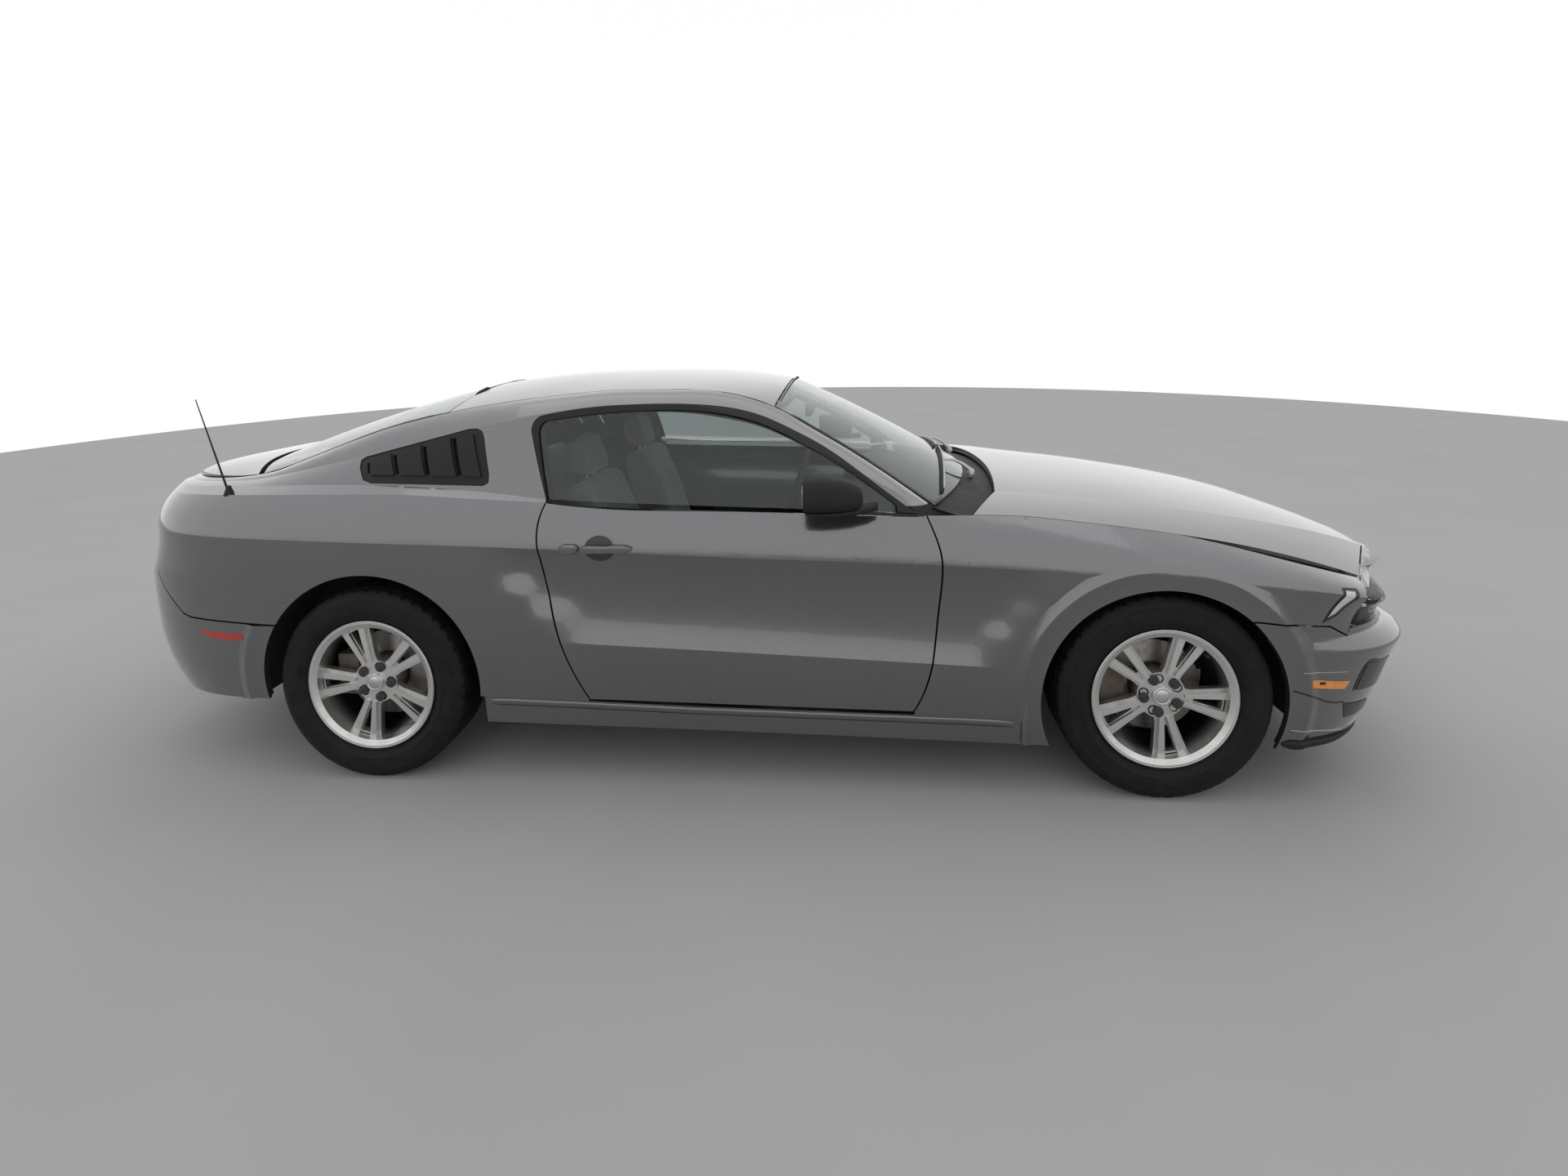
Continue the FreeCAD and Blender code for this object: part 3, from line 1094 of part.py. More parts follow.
# Sills
SILL_DEPTH = 84.0
sill_stations = [station(x) for x in steps(SILL_TOP[0][0] + SILL_LAP, SILL_TOP[-1][0] + SILL_LAP, 12)]
sill = thick([side_strip(sill_stations, SILL_Z, CREASE_Z)], SILL_DEPTH)
sill = sill.common(prism_y([(SILL_TOP[0][0], -OVERRUN)] + [(x, z - SEAT_GAP) for x, z in SILL_TOP]
                           + [(SILL_TOP[-1][0], -OVERRUN)], RIGHT_OUT, 0.0))
sill = biggest(sill)
write_both("sills", sill)

# Floor with its tunnel and jacking pads
FLOOR_Z = 190.0
FLOOR_FRONT_X = 960.0
FLOOR_REAR_X = -872.0
FLOOR_HALF_WIDTH = 850.0
TUNNEL_HALF_WIDTH = 150.0
TUNNEL_HEIGHT = 220.0
PAD_SIZE = 70.0
PAD_DEPTH = 14.0
PAD_Y = 720.0
PAD_X_SHARES = (-0.2924, 0.3258)
floor_pan = box(FLOOR_REAR_X, FLOOR_FRONT_X, -FLOOR_HALF_WIDTH, FLOOR_HALF_WIDTH, FLOOR_Z,
                FLOOR_Z + FLOOR_WALL)
tunnel_outer = box(FLOOR_REAR_X, FLOOR_FRONT_X, -TUNNEL_HALF_WIDTH, TUNNEL_HALF_WIDTH, FLOOR_Z,
                   FLOOR_Z + TUNNEL_HEIGHT)
tunnel_inner = box(FLOOR_REAR_X - OVERRUN, FLOOR_FRONT_X + OVERRUN, -TUNNEL_HALF_WIDTH + FLOOR_WALL,
                   TUNNEL_HALF_WIDTH - FLOOR_WALL, 0.0, FLOOR_Z + TUNNEL_HEIGHT - FLOOR_WALL)
floor_pan = floor_pan.fuse(tunnel_outer).cut(tunnel_inner)
for share in PAD_X_SHARES:
    for sign in (-1, 1):
        pad_x, pad_y = share * HALF_LENGTH, sign * PAD_Y
        floor_pan = floor_pan.fuse(box(pad_x - PAD_SIZE / 2, pad_x + PAD_SIZE / 2, pad_y - PAD_SIZE / 2,
                                       pad_y + PAD_SIZE / 2, FLOOR_Z - PAD_DEPTH, FLOOR_Z))
floor_pan = floor_pan.cut(moved(sill, 0.0, SEAT_GAP)).cut(moved(mirrored(sill), 0.0, -SEAT_GAP))
write("floor_pan", biggest(floor_pan))

# Luggage floor with its well, and the brackets that carry the tail
REAR_SHEET = 12.0
WHEELHOUSE_REAR_RADIUS = 424.0
WHEELHOUSE_REAR_INNER = 650.0
WHEELHOUSE_WALL = 8.0
LUGGAGE_FLOOR_Z = 545.0
WELL_FLOOR_Z = 340.0
WELL_X = -1720.0
BACK_X = -2250.0
BACK_TOP_SHARE = 0.58
TAIL_STAY_SHARES = (0.10, 0.24, 0.295, 0.345)
TAIL_ARM_SHARES = (0.05, 0.28, 0.640, 0.665)
bulkhead_x = FLOOR_REAR_X - SEAT_GAP
rear_outline = [(bulkhead_x, FLOOR_Z), (bulkhead_x, LUGGAGE_FLOOR_Z + REAR_SHEET),
                (WELL_X, LUGGAGE_FLOOR_Z + REAR_SHEET), (WELL_X, WELL_FLOOR_Z + REAR_SHEET),
                (BACK_X + REAR_SHEET, WELL_FLOOR_Z + REAR_SHEET), (BACK_X + REAR_SHEET,
                                                                   BACK_TOP_SHARE * HEIGHT),
                (BACK_X, BACK_TOP_SHARE * HEIGHT), (BACK_X, WELL_FLOOR_Z), (WELL_X + REAR_SHEET,
                                                                            WELL_FLOOR_Z),
                (WELL_X + REAR_SHEET, LUGGAGE_FLOOR_Z), (bulkhead_x - REAR_SHEET, LUGGAGE_FLOOR_Z),
                (bulkhead_x - REAR_SHEET, FLOOR_Z)]
rear_floor = prism_y(rear_outline, -WHEELHOUSE_REAR_INNER, WHEELHOUSE_REAR_INNER)
rear_floor = rear_floor.cut(box(bulkhead_x - OVERRUN, bulkhead_x + OVERRUN, -TUNNEL_HALF_WIDTH + FLOOR_WALL,
                                TUNNEL_HALF_WIDTH - FLOOR_WALL, 0.0, FLOOR_Z + TUNNEL_HEIGHT - FLOOR_WALL))
rear_floor = rear_floor.cut(moved(rear_bumper, SEAT_GAP)).cut(rear_bumper)
rear_floor = biggest(rear_floor)
back_half = TAIL_ARM_SHARES[1] * HALF_WIDTH
rear_floor = rear_floor.fuse(box(BACK_X, BACK_X + REAR_SHEET, -back_half, back_half, BACK_TOP_SHARE * HEIGHT,
                                 TAIL_ARM_SHARES[3] * HEIGHT))


def stays(shares, neighbour, x_from, x_to, gap):
    """Pair of short brackets that reach from x_from to the neighbour, with a seat gap."""
    y_in, y_out, z_low, z_high = shares
    stay = box(min(x_from, x_to), max(x_from, x_to), y_in * HALF_WIDTH, y_out * HALF_WIDTH, z_low * HEIGHT,
               z_high * HEIGHT)
    stay = stay.cut(moved(neighbour, gap))
    stay = min(stay.Solids, key=lambda solid: abs(solid.CenterOfMass.x - x_from))
    return [stay, mirrored(stay)]


rear_floor = rear_floor.fuse(stays(TAIL_STAY_SHARES, rear_bumper, BACK_X, -HALF_LENGTH - OVERRUN, SEAT_GAP))
rear_floor = rear_floor.fuse(stays(TAIL_ARM_SHARES, tail_panel, BACK_X, -HALF_LENGTH - OVERRUN, SEAT_GAP))
write("rear_floor", rear_floor)


def outside_skin(x0, z0, radius):
    """Space outside the middle of the side skin, in a band round an arch."""
    grid = []
    for angle in steps(math.radians(-60), math.radians(240), FLARE_STEPS * 2):
        row = []
        for r in steps(radius - WHEELHOUSE_WALL * 3, radius + WHEELHOUSE_WALL * 4, 2):
            x, z = x0 - r * math.cos(angle), z0 + r * math.sin(angle)
            row.append(V(x, -plan_y(x, z) + PANEL_WALL / 2, z))
        grid.append(row)
    return thick([grid], FLARE_WIDTH, -FLARE_WIDTH, V(0, -1, 0))


def wheelhouse(x, z, radius, inner, foot, panels, seam):
    """Half drum over a wheel, closed on its inner side and seated against the panels outside it."""
    drum = disc_y(radius + WHEELHOUSE_WALL, x, z, -HALF_WIDTH, -inner)
    drum = drum.cut(disc_y(radius, x, z, -HALF_WIDTH - OVERRUN, -inner - WHEELHOUSE_WALL))
    drum = drum.common(box(x - OVERRUN * 2, x + OVERRUN * 2, -HALF_WIDTH - OVERRUN, 0, foot, HEIGHT))
    drum = drum.cut(outside_skin(x, z, radius))
    for panel in panels:
        drum = drum.cut(panel).cut(moved(panel, 0.0, SEAT_GAP))
    drum = drum.cut(moved(panels[0], seam, SEAT_GAP, -SHUT_GAP))
    return max(drum.Solids, key=lambda solid: solid.BoundBox.YMax)


AXLE_OPENING = 75.0
rear_house = wheelhouse(AXLE_REAR, TYRE_RADIUS, WHEELHOUSE_REAR_RADIUS, WHEELHOUSE_REAR_INNER + SEAT_GAP,
                        TYRE_RADIUS - LAP, [largest, rear_bumper, rear_marker, sill], -SHUT_GAP)
rear_house = rear_house.cut(box(AXLE_REAR - AXLE_OPENING, AXLE_REAR + AXLE_OPENING, -HALF_WIDTH, 0.0, 0.0,
                                TYRE_RADIUS + AXLE_OPENING))
write_both("rear_wheelhouses", biggest(rear_house))
FRONT_HOUSE_RADIUS = 446.0
RAIL_HALF = 35.0
FRAME_Y = 405.0
FRAME_Z = 430.0
FRONT_HOUSE_INNER = FRAME_Y + RAIL_HALF + SEAT_GAP
front_house = wheelhouse(AXLE_FRONT, TYRE_RADIUS - ARCH_DROP_FRONT, FRONT_HOUSE_RADIUS, FRONT_HOUSE_INNER,
                         TYRE_RADIUS - LAP * 2, [fender, front_bumper, front_marker, header, sill], SHUT_GAP)
KINGPIN_Y = TRACK_FRONT / 2 - KINGPIN_INSET
write_both("front_wheelhouses", front_house)

# Cowl between the hood and the windscreen
COWL_WALL = 10.0
COWL_DROP = 34.0
COWL_REACH_SHARE = 0.43
cowl_edges, cowl_centres = [], []
for t in steps(0.0, 1.0, 3):
    inner = rail_at(SCREEN_FOOT_X - SHUT_GAP)
    outer_x = HOOD_REAR_X + SHUT_GAP * 2
    outer = V(outer_x, SHOULDER_Y(outer_x) - PANEL_WALL - SHUT_GAP * 2, SHOULDER_Z(outer_x) - COWL_DROP)
    cowl_edges.append(mix_point(V(inner.x, inner.y, inner.z - GLASS_WALL * 2), outer, t))
    cowl_centres.append(mix_point(V(SCREEN_CENTRE_FOOT[0] * HALF_LENGTH - SHUT_GAP, 0,
                                    SCREEN_CENTRE_FOOT[1] * HEIGHT - GLASS_WALL * 2),
                                  V(COWL_REACH_SHARE * HALF_LENGTH, 0,
                                    HOOD_Z(COWL_REACH_SHARE * HALF_LENGTH) - COWL_DROP), t))
cowl = thick([crowned(cowl_edges, cowl_centres, GLASS_INSET_SHARE)], COWL_WALL)
write("cowl_panel", cowl)

# Firewall, raised in the middle to carry the cowl
FIREWALL_WALL = 14.0
FIREWALL_TOP_SHARE = 0.632
FIREWALL_PEAK_SHARE = 0.69
FIREWALL_PEAK_HALF = 280.0
FIREWALL_HALF_WIDTH = 760.0
firewall_back = FLOOR_FRONT_X + SEAT_GAP
firewall = box(firewall_back, firewall_back + FIREWALL_WALL, -FIREWALL_HALF_WIDTH, FIREWALL_HALF_WIDTH,
               FLOOR_Z,
               FIREWALL_TOP_SHARE * HEIGHT)
firewall = firewall.fuse(box(firewall_back, firewall_back + FIREWALL_WALL, -FIREWALL_PEAK_HALF,
                             FIREWALL_PEAK_HALF, FLOOR_Z,
                             FIREWALL_PEAK_SHARE * HEIGHT))
firewall = firewall.cut(moved(cowl, 0.0, 0.0, -SEAT_GAP))
firewall = firewall.cut(disc_y(FRONT_HOUSE_RADIUS + WHEELHOUSE_WALL + SEAT_GAP, AXLE_FRONT,
                               TYRE_RADIUS - ARCH_DROP_FRONT, -HALF_WIDTH, HALF_WIDTH))
firewall = firewall.cut(box(0.0, HALF_LENGTH, -TUNNEL_HALF_WIDTH, TUNNEL_HALF_WIDTH, 0.0,
                            FLOOR_Z + TUNNEL_HEIGHT))
write("firewall", biggest(firewall))

# Wheels: built about the origin with the outer face towards -Y
TREAD_HALF = 86.0
TREAD_DROP = 7.0
BEAD_HALF = 87.5
BEAD_RADIUS = RIM_RADIUS + BEAD_GAP
BEAD_TOP = RIM_LIP_RADIUS + TREAD_DROP


def revolved(outline):
    """Body of revolution about Y from (radius, y) places."""
    face = polygon([V(r, y, 0) for r, y in outline])
    return face.revolve(V(0, 0, 0), V(0, 1, 0), 360)


SIDEWALL_SHARES = ((0.28, 0.90), (0.55, 1.00), (0.86, 0.92))


def tyre_outline():
    """Half section from the bead to the crown as (radius, y) places."""
    half = TYRE_WIDTH / 2
    rise = TYRE_RADIUS - BEAD_TOP
    side = [(BEAD_TOP + rise * up, mix(BEAD_HALF, half, out)) for up, out in SIDEWALL_SHARES]
    return [(BEAD_RADIUS, BEAD_HALF), (BEAD_TOP, BEAD_HALF)] + side + [(TYRE_RADIUS, TREAD_HALF)]


half_section = tyre_outline()
tyre = revolved(half_section + [(r, -y) for r, y in reversed(half_section)])

FACE_Y = -74.0
LIP_Y = -99.0
HUB_BACK_Y = 10.0
RIM_SEAT_HALF = BEAD_HALF + BEAD_GAP
rim_outline = [(RIM_LIP_RADIUS, LIP_Y), (RIM_LIP_RADIUS, LIP_Y + RIM_WALL), (RIM_RADIUS, -RIM_SEAT_HALF),
               (RIM_RADIUS, RIM_SEAT_HALF), (RIM_LIP_RADIUS, RIM_WIDTH / 2), (RIM_LIP_RADIUS,
                                                                              RIM_WIDTH / 2 + RIM_WALL),
               (RIM_RADIUS - RIM_WALL, RIM_WIDTH / 2 + RIM_WALL), (RIM_RADIUS - RIM_WALL, LIP_Y + RIM_WALL),
               (RIM_LIP_RADIUS - RIM_WALL, LIP_Y)]
barrel = revolved(rim_outline)


def polar(radius, degrees):
    a = math.radians(degrees)
    return radius * math.cos(a), radius * math.sin(a)


# Spokes: pairs of ribs on a plate; tables hold shares of the hub radius and angles in degrees
PLATE_SHARES = ((0.9, 27.0), (1.25, 19.0), (2.71, 15.5))
RIB_SHARES = ((0.95, 3.0, 14.0), (1.5, 4.5, 13.0), (2.71, 6.0, 12.5))
SLOT_SHARES = ((1.35, 2.5), (2.83, 6.0))
PLATE_BACK = 22.0
RIB_HEIGHT = 12.0


def wheel_blade(outline, y0, y1):
    """Block from a table of (share of hub radius, angle) places."""
    return prism_y([polar(HUB_RADIUS * share, a) for share, a in outline], y0, y1)


def spoke_pair():
    plate = [(r, -a) for r, a in PLATE_SHARES] + [(r, a) for r, a in reversed(PLATE_SHARES)]
    body = wheel_blade(plate, FACE_Y + RIB_HEIGHT, FACE_Y + RIB_HEIGHT + PLATE_BACK)
    for sign in (-1, 1):
        rib = [(r, sign * a) for r, a, b in RIB_SHARES] + [(r, sign * b) for r, a, b in reversed(RIB_SHARES)]
        body = body.fuse(wheel_blade(rib, FACE_Y, FACE_Y + RIB_HEIGHT + PLATE_BACK))
    slot = [(r, -a) for r, a in SLOT_SHARES] + [(r, a) for r, a in reversed(SLOT_SHARES)]
    slot = wheel_blade(slot, FACE_Y - RIB_HEIGHT, FACE_Y + RIB_HEIGHT * 2 + PLATE_BACK)
    return body.cut(slot.common(disc_y(RIM_RADIUS - RIM_WALL * 2, 0, 0, FACE_Y - OVERRUN, OVERRUN)))


CAP_RADIUS = 31.0
CAP_HEIGHT = 9.0
STUB_DEPTH = 46.0
DISC_Y = HUB_BACK_Y + DISC_THICKNESS / 2
DISC_BACK = HUB_BACK_Y + DISC_THICKNESS
wheel = disc_y(HUB_RADIUS, 0, 0, FACE_Y + RIB_HEIGHT / 2, HUB_BACK_Y)
one_pair = spoke_pair()
for k in range(SPOKE_PAIRS):
    pair = one_pair.copy()
    pair.rotate(V(0, 0, 0), V(0, 1, 0), 360 * k / SPOKE_PAIRS)
    wheel = wheel.fuse(pair)
wheel = wheel.fuse(barrel)
for k in range(SPOKE_PAIRS):
    x, z = polar(LUG_CIRCLE_RADIUS, 360 * (k + 0.5) / SPOKE_PAIRS)
    wheel = wheel.cut(disc_y(LUG_POCKET_RADIUS, x, z, FACE_Y - OVERRUN, FACE_Y + LUG_LENGTH))
    wheel = wheel.fuse(disc_y(LUG_RADIUS, x, z, FACE_Y + RIB_HEIGHT / 2, FACE_Y + LUG_LENGTH))
wheel = wheel.fuse(disc_y(CAP_RADIUS, 0, 0, FACE_Y - CAP_HEIGHT / 2, FACE_Y + CAP_HEIGHT))
wheel = wheel.fuse(disc_y(DISC_RADIUS, 0, 0, HUB_BACK_Y, DISC_BACK))
wheel = wheel.cut(disc_y(HUB_BORE_RADIUS, 0, 0, FACE_Y + STUB_DEPTH, OVERRUN))
REAR_PHASE = 39.0
FRONT_PHASE = 63.5
for end, axle, track, phase in (("front", AXLE_FRONT, TRACK_FRONT, FRONT_PHASE), ("rear", AXLE_REAR,
                                                                                  TRACK_REAR, REAR_PHASE)):
    turned = wheel.copy()
    turned.rotate(V(0, 0, 0), V(0, 1, 0), -phase)
    write_pair("wheel_" + end, moved(turned, axle, -track / 2, TYRE_RADIUS))
    write_pair("tyre_" + end, moved(tyre, axle, -track / 2, TYRE_RADIUS))

# Front knuckles with spindle, strut and brake caliper
SPINDLE_RADIUS = HUB_BORE_RADIUS - STUB_CLEARANCE
KNUCKLE_HALF = 30.0
UPRIGHT_LOW = 210.0
STRUT_FOOT = 430.0
STRUT_RADIUS = 27.0
SPRING_RADIUS = 44.0
ARM_LENGTH = 135.0
ARM_RISE = 30.0
wheel_y = -TRACK_FRONT / 2
kingpin_y = -KINGPIN_Y


def caliper(x0, z0, y0):
    """Brake caliper straddling the disc behind the axle."""
    block = box(x0 - DISC_RADIUS - CALIPER_DEPTH / 3, x0 - DISC_RADIUS + CALIPER_DEPTH,
                y0 - CALIPER_WIDTH / 2,
                y0 + CALIPER_WIDTH / 2, z0 - CALIPER_LENGTH / 2, z0 + CALIPER_LENGTH / 2)
    reach = DISC_THICKNESS / 2 + SHUT_GAP
    return block.cut(disc_y(DISC_RADIUS + SHUT_GAP, x0, z0, y0 - reach, y0 + reach))


upright = box(AXLE_FRONT - KNUCKLE_HALF, AXLE_FRONT + KNUCKLE_HALF, wheel_y + DISC_BACK + SHUT_GAP,
              kingpin_y, TYRE_RADIUS - KNUCKLE_THICKNESS, TYRE_RADIUS + KNUCKLE_THICKNESS)
post = Part.makeCylinder(KNUCKLE_HALF, STRUT_FOOT + KNUCKLE_HALF - UPRIGHT_LOW, V(AXLE_FRONT, kingpin_y,
                                                                                  UPRIGHT_LOW))
spindle = disc_y(SPINDLE_RADIUS, AXLE_FRONT, TYRE_RADIUS, wheel_y + FACE_Y + STUB_DEPTH + SHUT_GAP,
                 wheel_y + DISC_BACK
                 + SHUT_GAP * 2)
strut_top = TYRE_RADIUS - ARCH_DROP_FRONT + math.sqrt(FRONT_HOUSE_RADIUS ** 2 - STRUT_RADIUS ** 2) - SEAT_GAP
strut = Part.makeCylinder(STRUT_RADIUS, strut_top - STRUT_FOOT, V(AXLE_FRONT, kingpin_y, STRUT_FOOT))
spring_seat = Part.makeCylinder(SPRING_RADIUS, KNUCKLE_HALF / 2, V(AXLE_FRONT, kingpin_y,
                                                                   TYRE_RADIUS * 2 + KNUCKLE_HALF))
steering_arm = box(AXLE_FRONT - ARM_LENGTH, AXLE_FRONT, kingpin_y - KNUCKLE_HALF / 2,
                   kingpin_y + KNUCKLE_HALF / 2,
                   UPRIGHT_LOW + ARM_RISE, UPRIGHT_LOW + ARM_RISE * 2)
front_caliper = caliper(AXLE_FRONT, TYRE_RADIUS, wheel_y + DISC_Y)
bracket = box(AXLE_FRONT - DISC_RADIUS - CALIPER_DEPTH / 3, AXLE_FRONT, wheel_y + DISC_BACK + SHUT_GAP,
              wheel_y + DISC_Y + CALIPER_WIDTH / 2, TYRE_RADIUS - KNUCKLE_HALF, TYRE_RADIUS + KNUCKLE_HALF)
write_pair("knuckle", fuse([upright, post, spindle, strut, spring_seat, steering_arm, front_caliper,
                            bracket]))

# Rear axle
AXLE_TUBE = 40.0
DIFF_RADIUS = 128.0
SPRING_Y = 520.0
axle_y = TRACK_REAR / 2 - DISC_BACK - SHUT_GAP
tube = disc_y(AXLE_TUBE, AXLE_REAR, TYRE_RADIUS, -axle_y, axle_y)
stub_y = TRACK_REAR / 2 - FACE_Y - STUB_DEPTH - SHUT_GAP
stubs = disc_y(SPINDLE_RADIUS, AXLE_REAR, TYRE_RADIUS, -stub_y, stub_y)
diff = Part.makeSphere(DIFF_RADIUS, V(AXLE_REAR, 0, TYRE_RADIUS))
rear_axle = tube.fuse([stubs, diff])
rear_caliper = caliper(AXLE_REAR, TYRE_RADIUS, -TRACK_REAR / 2 + DISC_Y)
rear_bracket = box(AXLE_REAR - DISC_RADIUS - CALIPER_DEPTH / 3, AXLE_REAR, -axle_y,
                   -TRACK_REAR / 2 + DISC_Y + CALIPER_WIDTH / 2, TYRE_RADIUS - KNUCKLE_HALF,
                   TYRE_RADIUS + KNUCKLE_HALF)
spring = Part.makeCylinder(SPRING_RADIUS, LUGGAGE_FLOOR_Z - SEAT_GAP - TYRE_RADIUS, V(AXLE_REAR, -SPRING_Y,
                                                                                      TYRE_RADIUS))
for side_part in (rear_caliper, rear_bracket, spring):
    rear_axle = rear_axle.fuse([side_part, mirrored(side_part)])
write("rear_axle", rear_axle)

# Engine and gearbox as plain blocks, with mounts on the rails and the shaft to the axle
ENGINE_SHARES = (0.4219, 0.6516, -0.2717, 0.2717, 0.1841, 0.5382)
GEARBOX_SHARES = (0.1253, 0.4219, 0.1172)
GEARBOX_LOW = 40.0
GEARBOX_HIGH = 180.0
MOUNT_SHARES = (0.530, 0.560, 0.2600)
SHAFT_RADIUS = 34.0
SHAFT_Z = 300.0


def share_box(x0, x1, y0, y1, z0, z1):
    return box(x0 * HALF_LENGTH, x1 * HALF_LENGTH, y0 * HALF_WIDTH, y1 * HALF_WIDTH, z0 * HEIGHT, z1 * HEIGHT)


engine = share_box(*ENGINE_SHARES)
gearbox_half = GEARBOX_SHARES[2] * HALF_WIDTH
gearbox = box(GEARBOX_SHARES[0] * HALF_LENGTH, GEARBOX_SHARES[1] * HALF_LENGTH, -gearbox_half, gearbox_half,
              FLOOR_Z + GEARBOX_LOW, FLOOR_Z + GEARBOX_HIGH)
mount = box(MOUNT_SHARES[0] * HALF_LENGTH, MOUNT_SHARES[1] * HALF_LENGTH, MOUNT_SHARES[2] * HALF_WIDTH,
            FRAME_Y - RAIL_HALF - SEAT_GAP, FRAME_Z - RAIL_HALF / 2, FRAME_Z + RAIL_HALF / 2)
shaft_start = AXLE_REAR + DIFF_RADIUS - SHUT_GAP * 2
shaft = Part.makeCylinder(SHAFT_RADIUS, -shaft_start + SHUT_GAP + GEARBOX_SHARES[0] * HALF_LENGTH,
                          V(shaft_start, 0, SHAFT_Z),
                          V(1, 0, 0))
shaft = biggest(shaft.cut(moved(diff, SEAT_GAP)))
write("powertrain", fuse([engine, gearbox, mount, mirrored(mount), shaft]))

# Front structure: rails, crossmembers, lower arms and the panel that holds the radiator
FRAME_FRONT = 2180.0
FRAME_CROSS_HALF = 540.0
RADIATOR_SHARES = (0.8605, 0.8772, -0.4316, 0.4316, 0.1629, 0.4790)
ARM_DROP = 35.0
BUMPER_STAY_SHARES = (0.30, 0.42)
axle_box = (AXLE_FRONT - RAIL_HALF, AXLE_FRONT + RAIL_HALF)
arm_y = KINGPIN_Y + KNUCKLE_HALF
arm_z = UPRIGHT_LOW - SEAT_GAP
frame_parts = [box(*axle_box, -arm_y, arm_y, arm_z - ARM_DROP, arm_z), share_box(*RADIATOR_SHARES),
               box(FRAME_FRONT - RAIL_HALF, FRAME_FRONT + RAIL_HALF, -FRAME_CROSS_HALF, FRAME_CROSS_HALF,
                   FRAME_Z - RAIL_HALF, FRAME_Z + RAIL_HALF)]
for sign in (-1, 1):
    low_y, high_y = sign * FRAME_Y - RAIL_HALF, sign * FRAME_Y + RAIL_HALF
    frame_parts.append(box(firewall_back + FIREWALL_WALL + SEAT_GAP, FRAME_FRONT, low_y, high_y,
                           FRAME_Z - RAIL_HALF,
                           FRAME_Z + RAIL_HALF))
    frame_parts.append(box(*axle_box, low_y, high_y, arm_z - ARM_DROP, FRAME_Z))
stay_shares = BUMPER_STAY_SHARES + ((FRAME_Z - RAIL_HALF) / HEIGHT, (FRAME_Z + RAIL_HALF) / HEIGHT)
frame_parts += stays(stay_shares, front_bumper, FRAME_FRONT, HALF_LENGTH + OVERRUN, -SEAT_GAP)
write("front_frame", fuse(frame_parts))

# Silencer under the luggage well, with its open tail pipe
MUFFLER_RADIUS = 90.0
MUFFLER_LENGTH = 450.0
MUFFLER_X = -2200.0
MUFFLER_Y = -480.0
TIP_RADIUS = 40.0
TIP_WALL = 4.0
TIP_REACH = 165.0
TIP_DEPTH = 120.0
TIP_Z = 228.0
muffler = Part.makeCylinder(MUFFLER_RADIUS, MUFFLER_LENGTH, V(MUFFLER_X, MUFFLER_Y,
                                                              WELL_FLOOR_Z - MUFFLER_RADIUS - SEAT_GAP),
                            V(1, 0, 0))
tip_start = V(MUFFLER_X - TIP_REACH, MUFFLER_Y, TIP_Z)
tip = Part.makeCylinder(TIP_RADIUS, TIP_REACH + TIP_WALL, tip_start, V(1, 0, 0))
tip = tip.cut(Part.makeCylinder(TIP_RADIUS - TIP_WALL, TIP_DEPTH, tip_start, V(1, 0, 0)))
write("exhaust", fuse([muffler, tip]))

# Seats: shares of half length and of height
SEAT_WIDTH = 430.0
SEAT_Y = 385.0
CUSHION_SHARES = ((-0.1963, 0.2337), (0.0251, 0.2337), (0.0376, 0.2691), (0.0340, 0.3110), (0.0200, 0.3300),
                  (-0.0600, 0.3200), (-0.1671, 0.2975))
BACKREST_SHARES = ((-0.1671, 0.2975), (-0.1920, 0.4400), (-0.2140, 0.5700), (-0.2339, 0.6657), (-0.2450,
                                                                                                0.7010),
                   (-0.2600, 0.7110), (-0.2800, 0.7030), (-0.2882, 0.6657), (-0.2339, 0.2833), (-0.1963,
                                                                                                0.2337))
HEADREST_SHARES = ((-0.2506, 0.7167), (-0.2580, 0.7900), (-0.2690, 0.8251), (-0.2924, 0.8300), (-0.3049,
                                                                                                0.7932),
                   (-0.2924, 0.7167))
HEADREST_WIDTH_SHARE = 0.55
POST_SHARES = (-0.2757, -0.2673, 0.7011, 0.7224)
POST_HALF = 60.0
BASE_SHARES = (-0.1671, 0.0, 0.2408)
REAR_CUSHION_SHARES = ((-0.4219, 0.3947), (-0.3626, 0.3947), (-0.3626, 0.3329), (-0.2924, 0.3116), (-0.2924,
                                                                                                    0.4249),
                       (-0.4010, 0.4533))
REAR_BACK_SHARES = ((-0.4219, 0.3947), (-0.3759, 0.4249), (-0.4678, 0.7082), (-0.5013, 0.7011))
REAR_SEAT_HALF = 590.0
seat_low, seat_high = -SEAT_Y - SEAT_WIDTH / 2, -SEAT_Y + SEAT_WIDTH / 2
head_half = SEAT_WIDTH * HEADREST_WIDTH_SHARE / 2
floor_top = FLOOR_Z + FLOOR_WALL + SEAT_GAP
seat = fuse([prism_y(places(CUSHION_SHARES), seat_low, seat_high), prism_y(places(BACKREST_SHARES), seat_low,
                                                                           seat_high),
             prism_y(places(HEADREST_SHARES), -SEAT_Y - head_half, -SEAT_Y + head_half),
             box(POST_SHARES[0] * HALF_LENGTH, POST_SHARES[1] * HALF_LENGTH, -SEAT_Y - POST_HALF,
                 -SEAT_Y + POST_HALF,
                 POST_SHARES[2] * HEIGHT, POST_SHARES[3] * HEIGHT),
             box(BASE_SHARES[0] * HALF_LENGTH, BASE_SHARES[1], -SEAT_Y - SEAT_WIDTH / 3,
                 -SEAT_Y + SEAT_WIDTH / 3,
                 floor_top, BASE_SHARES[2] * HEIGHT)])
write_both("front_seats", seat)
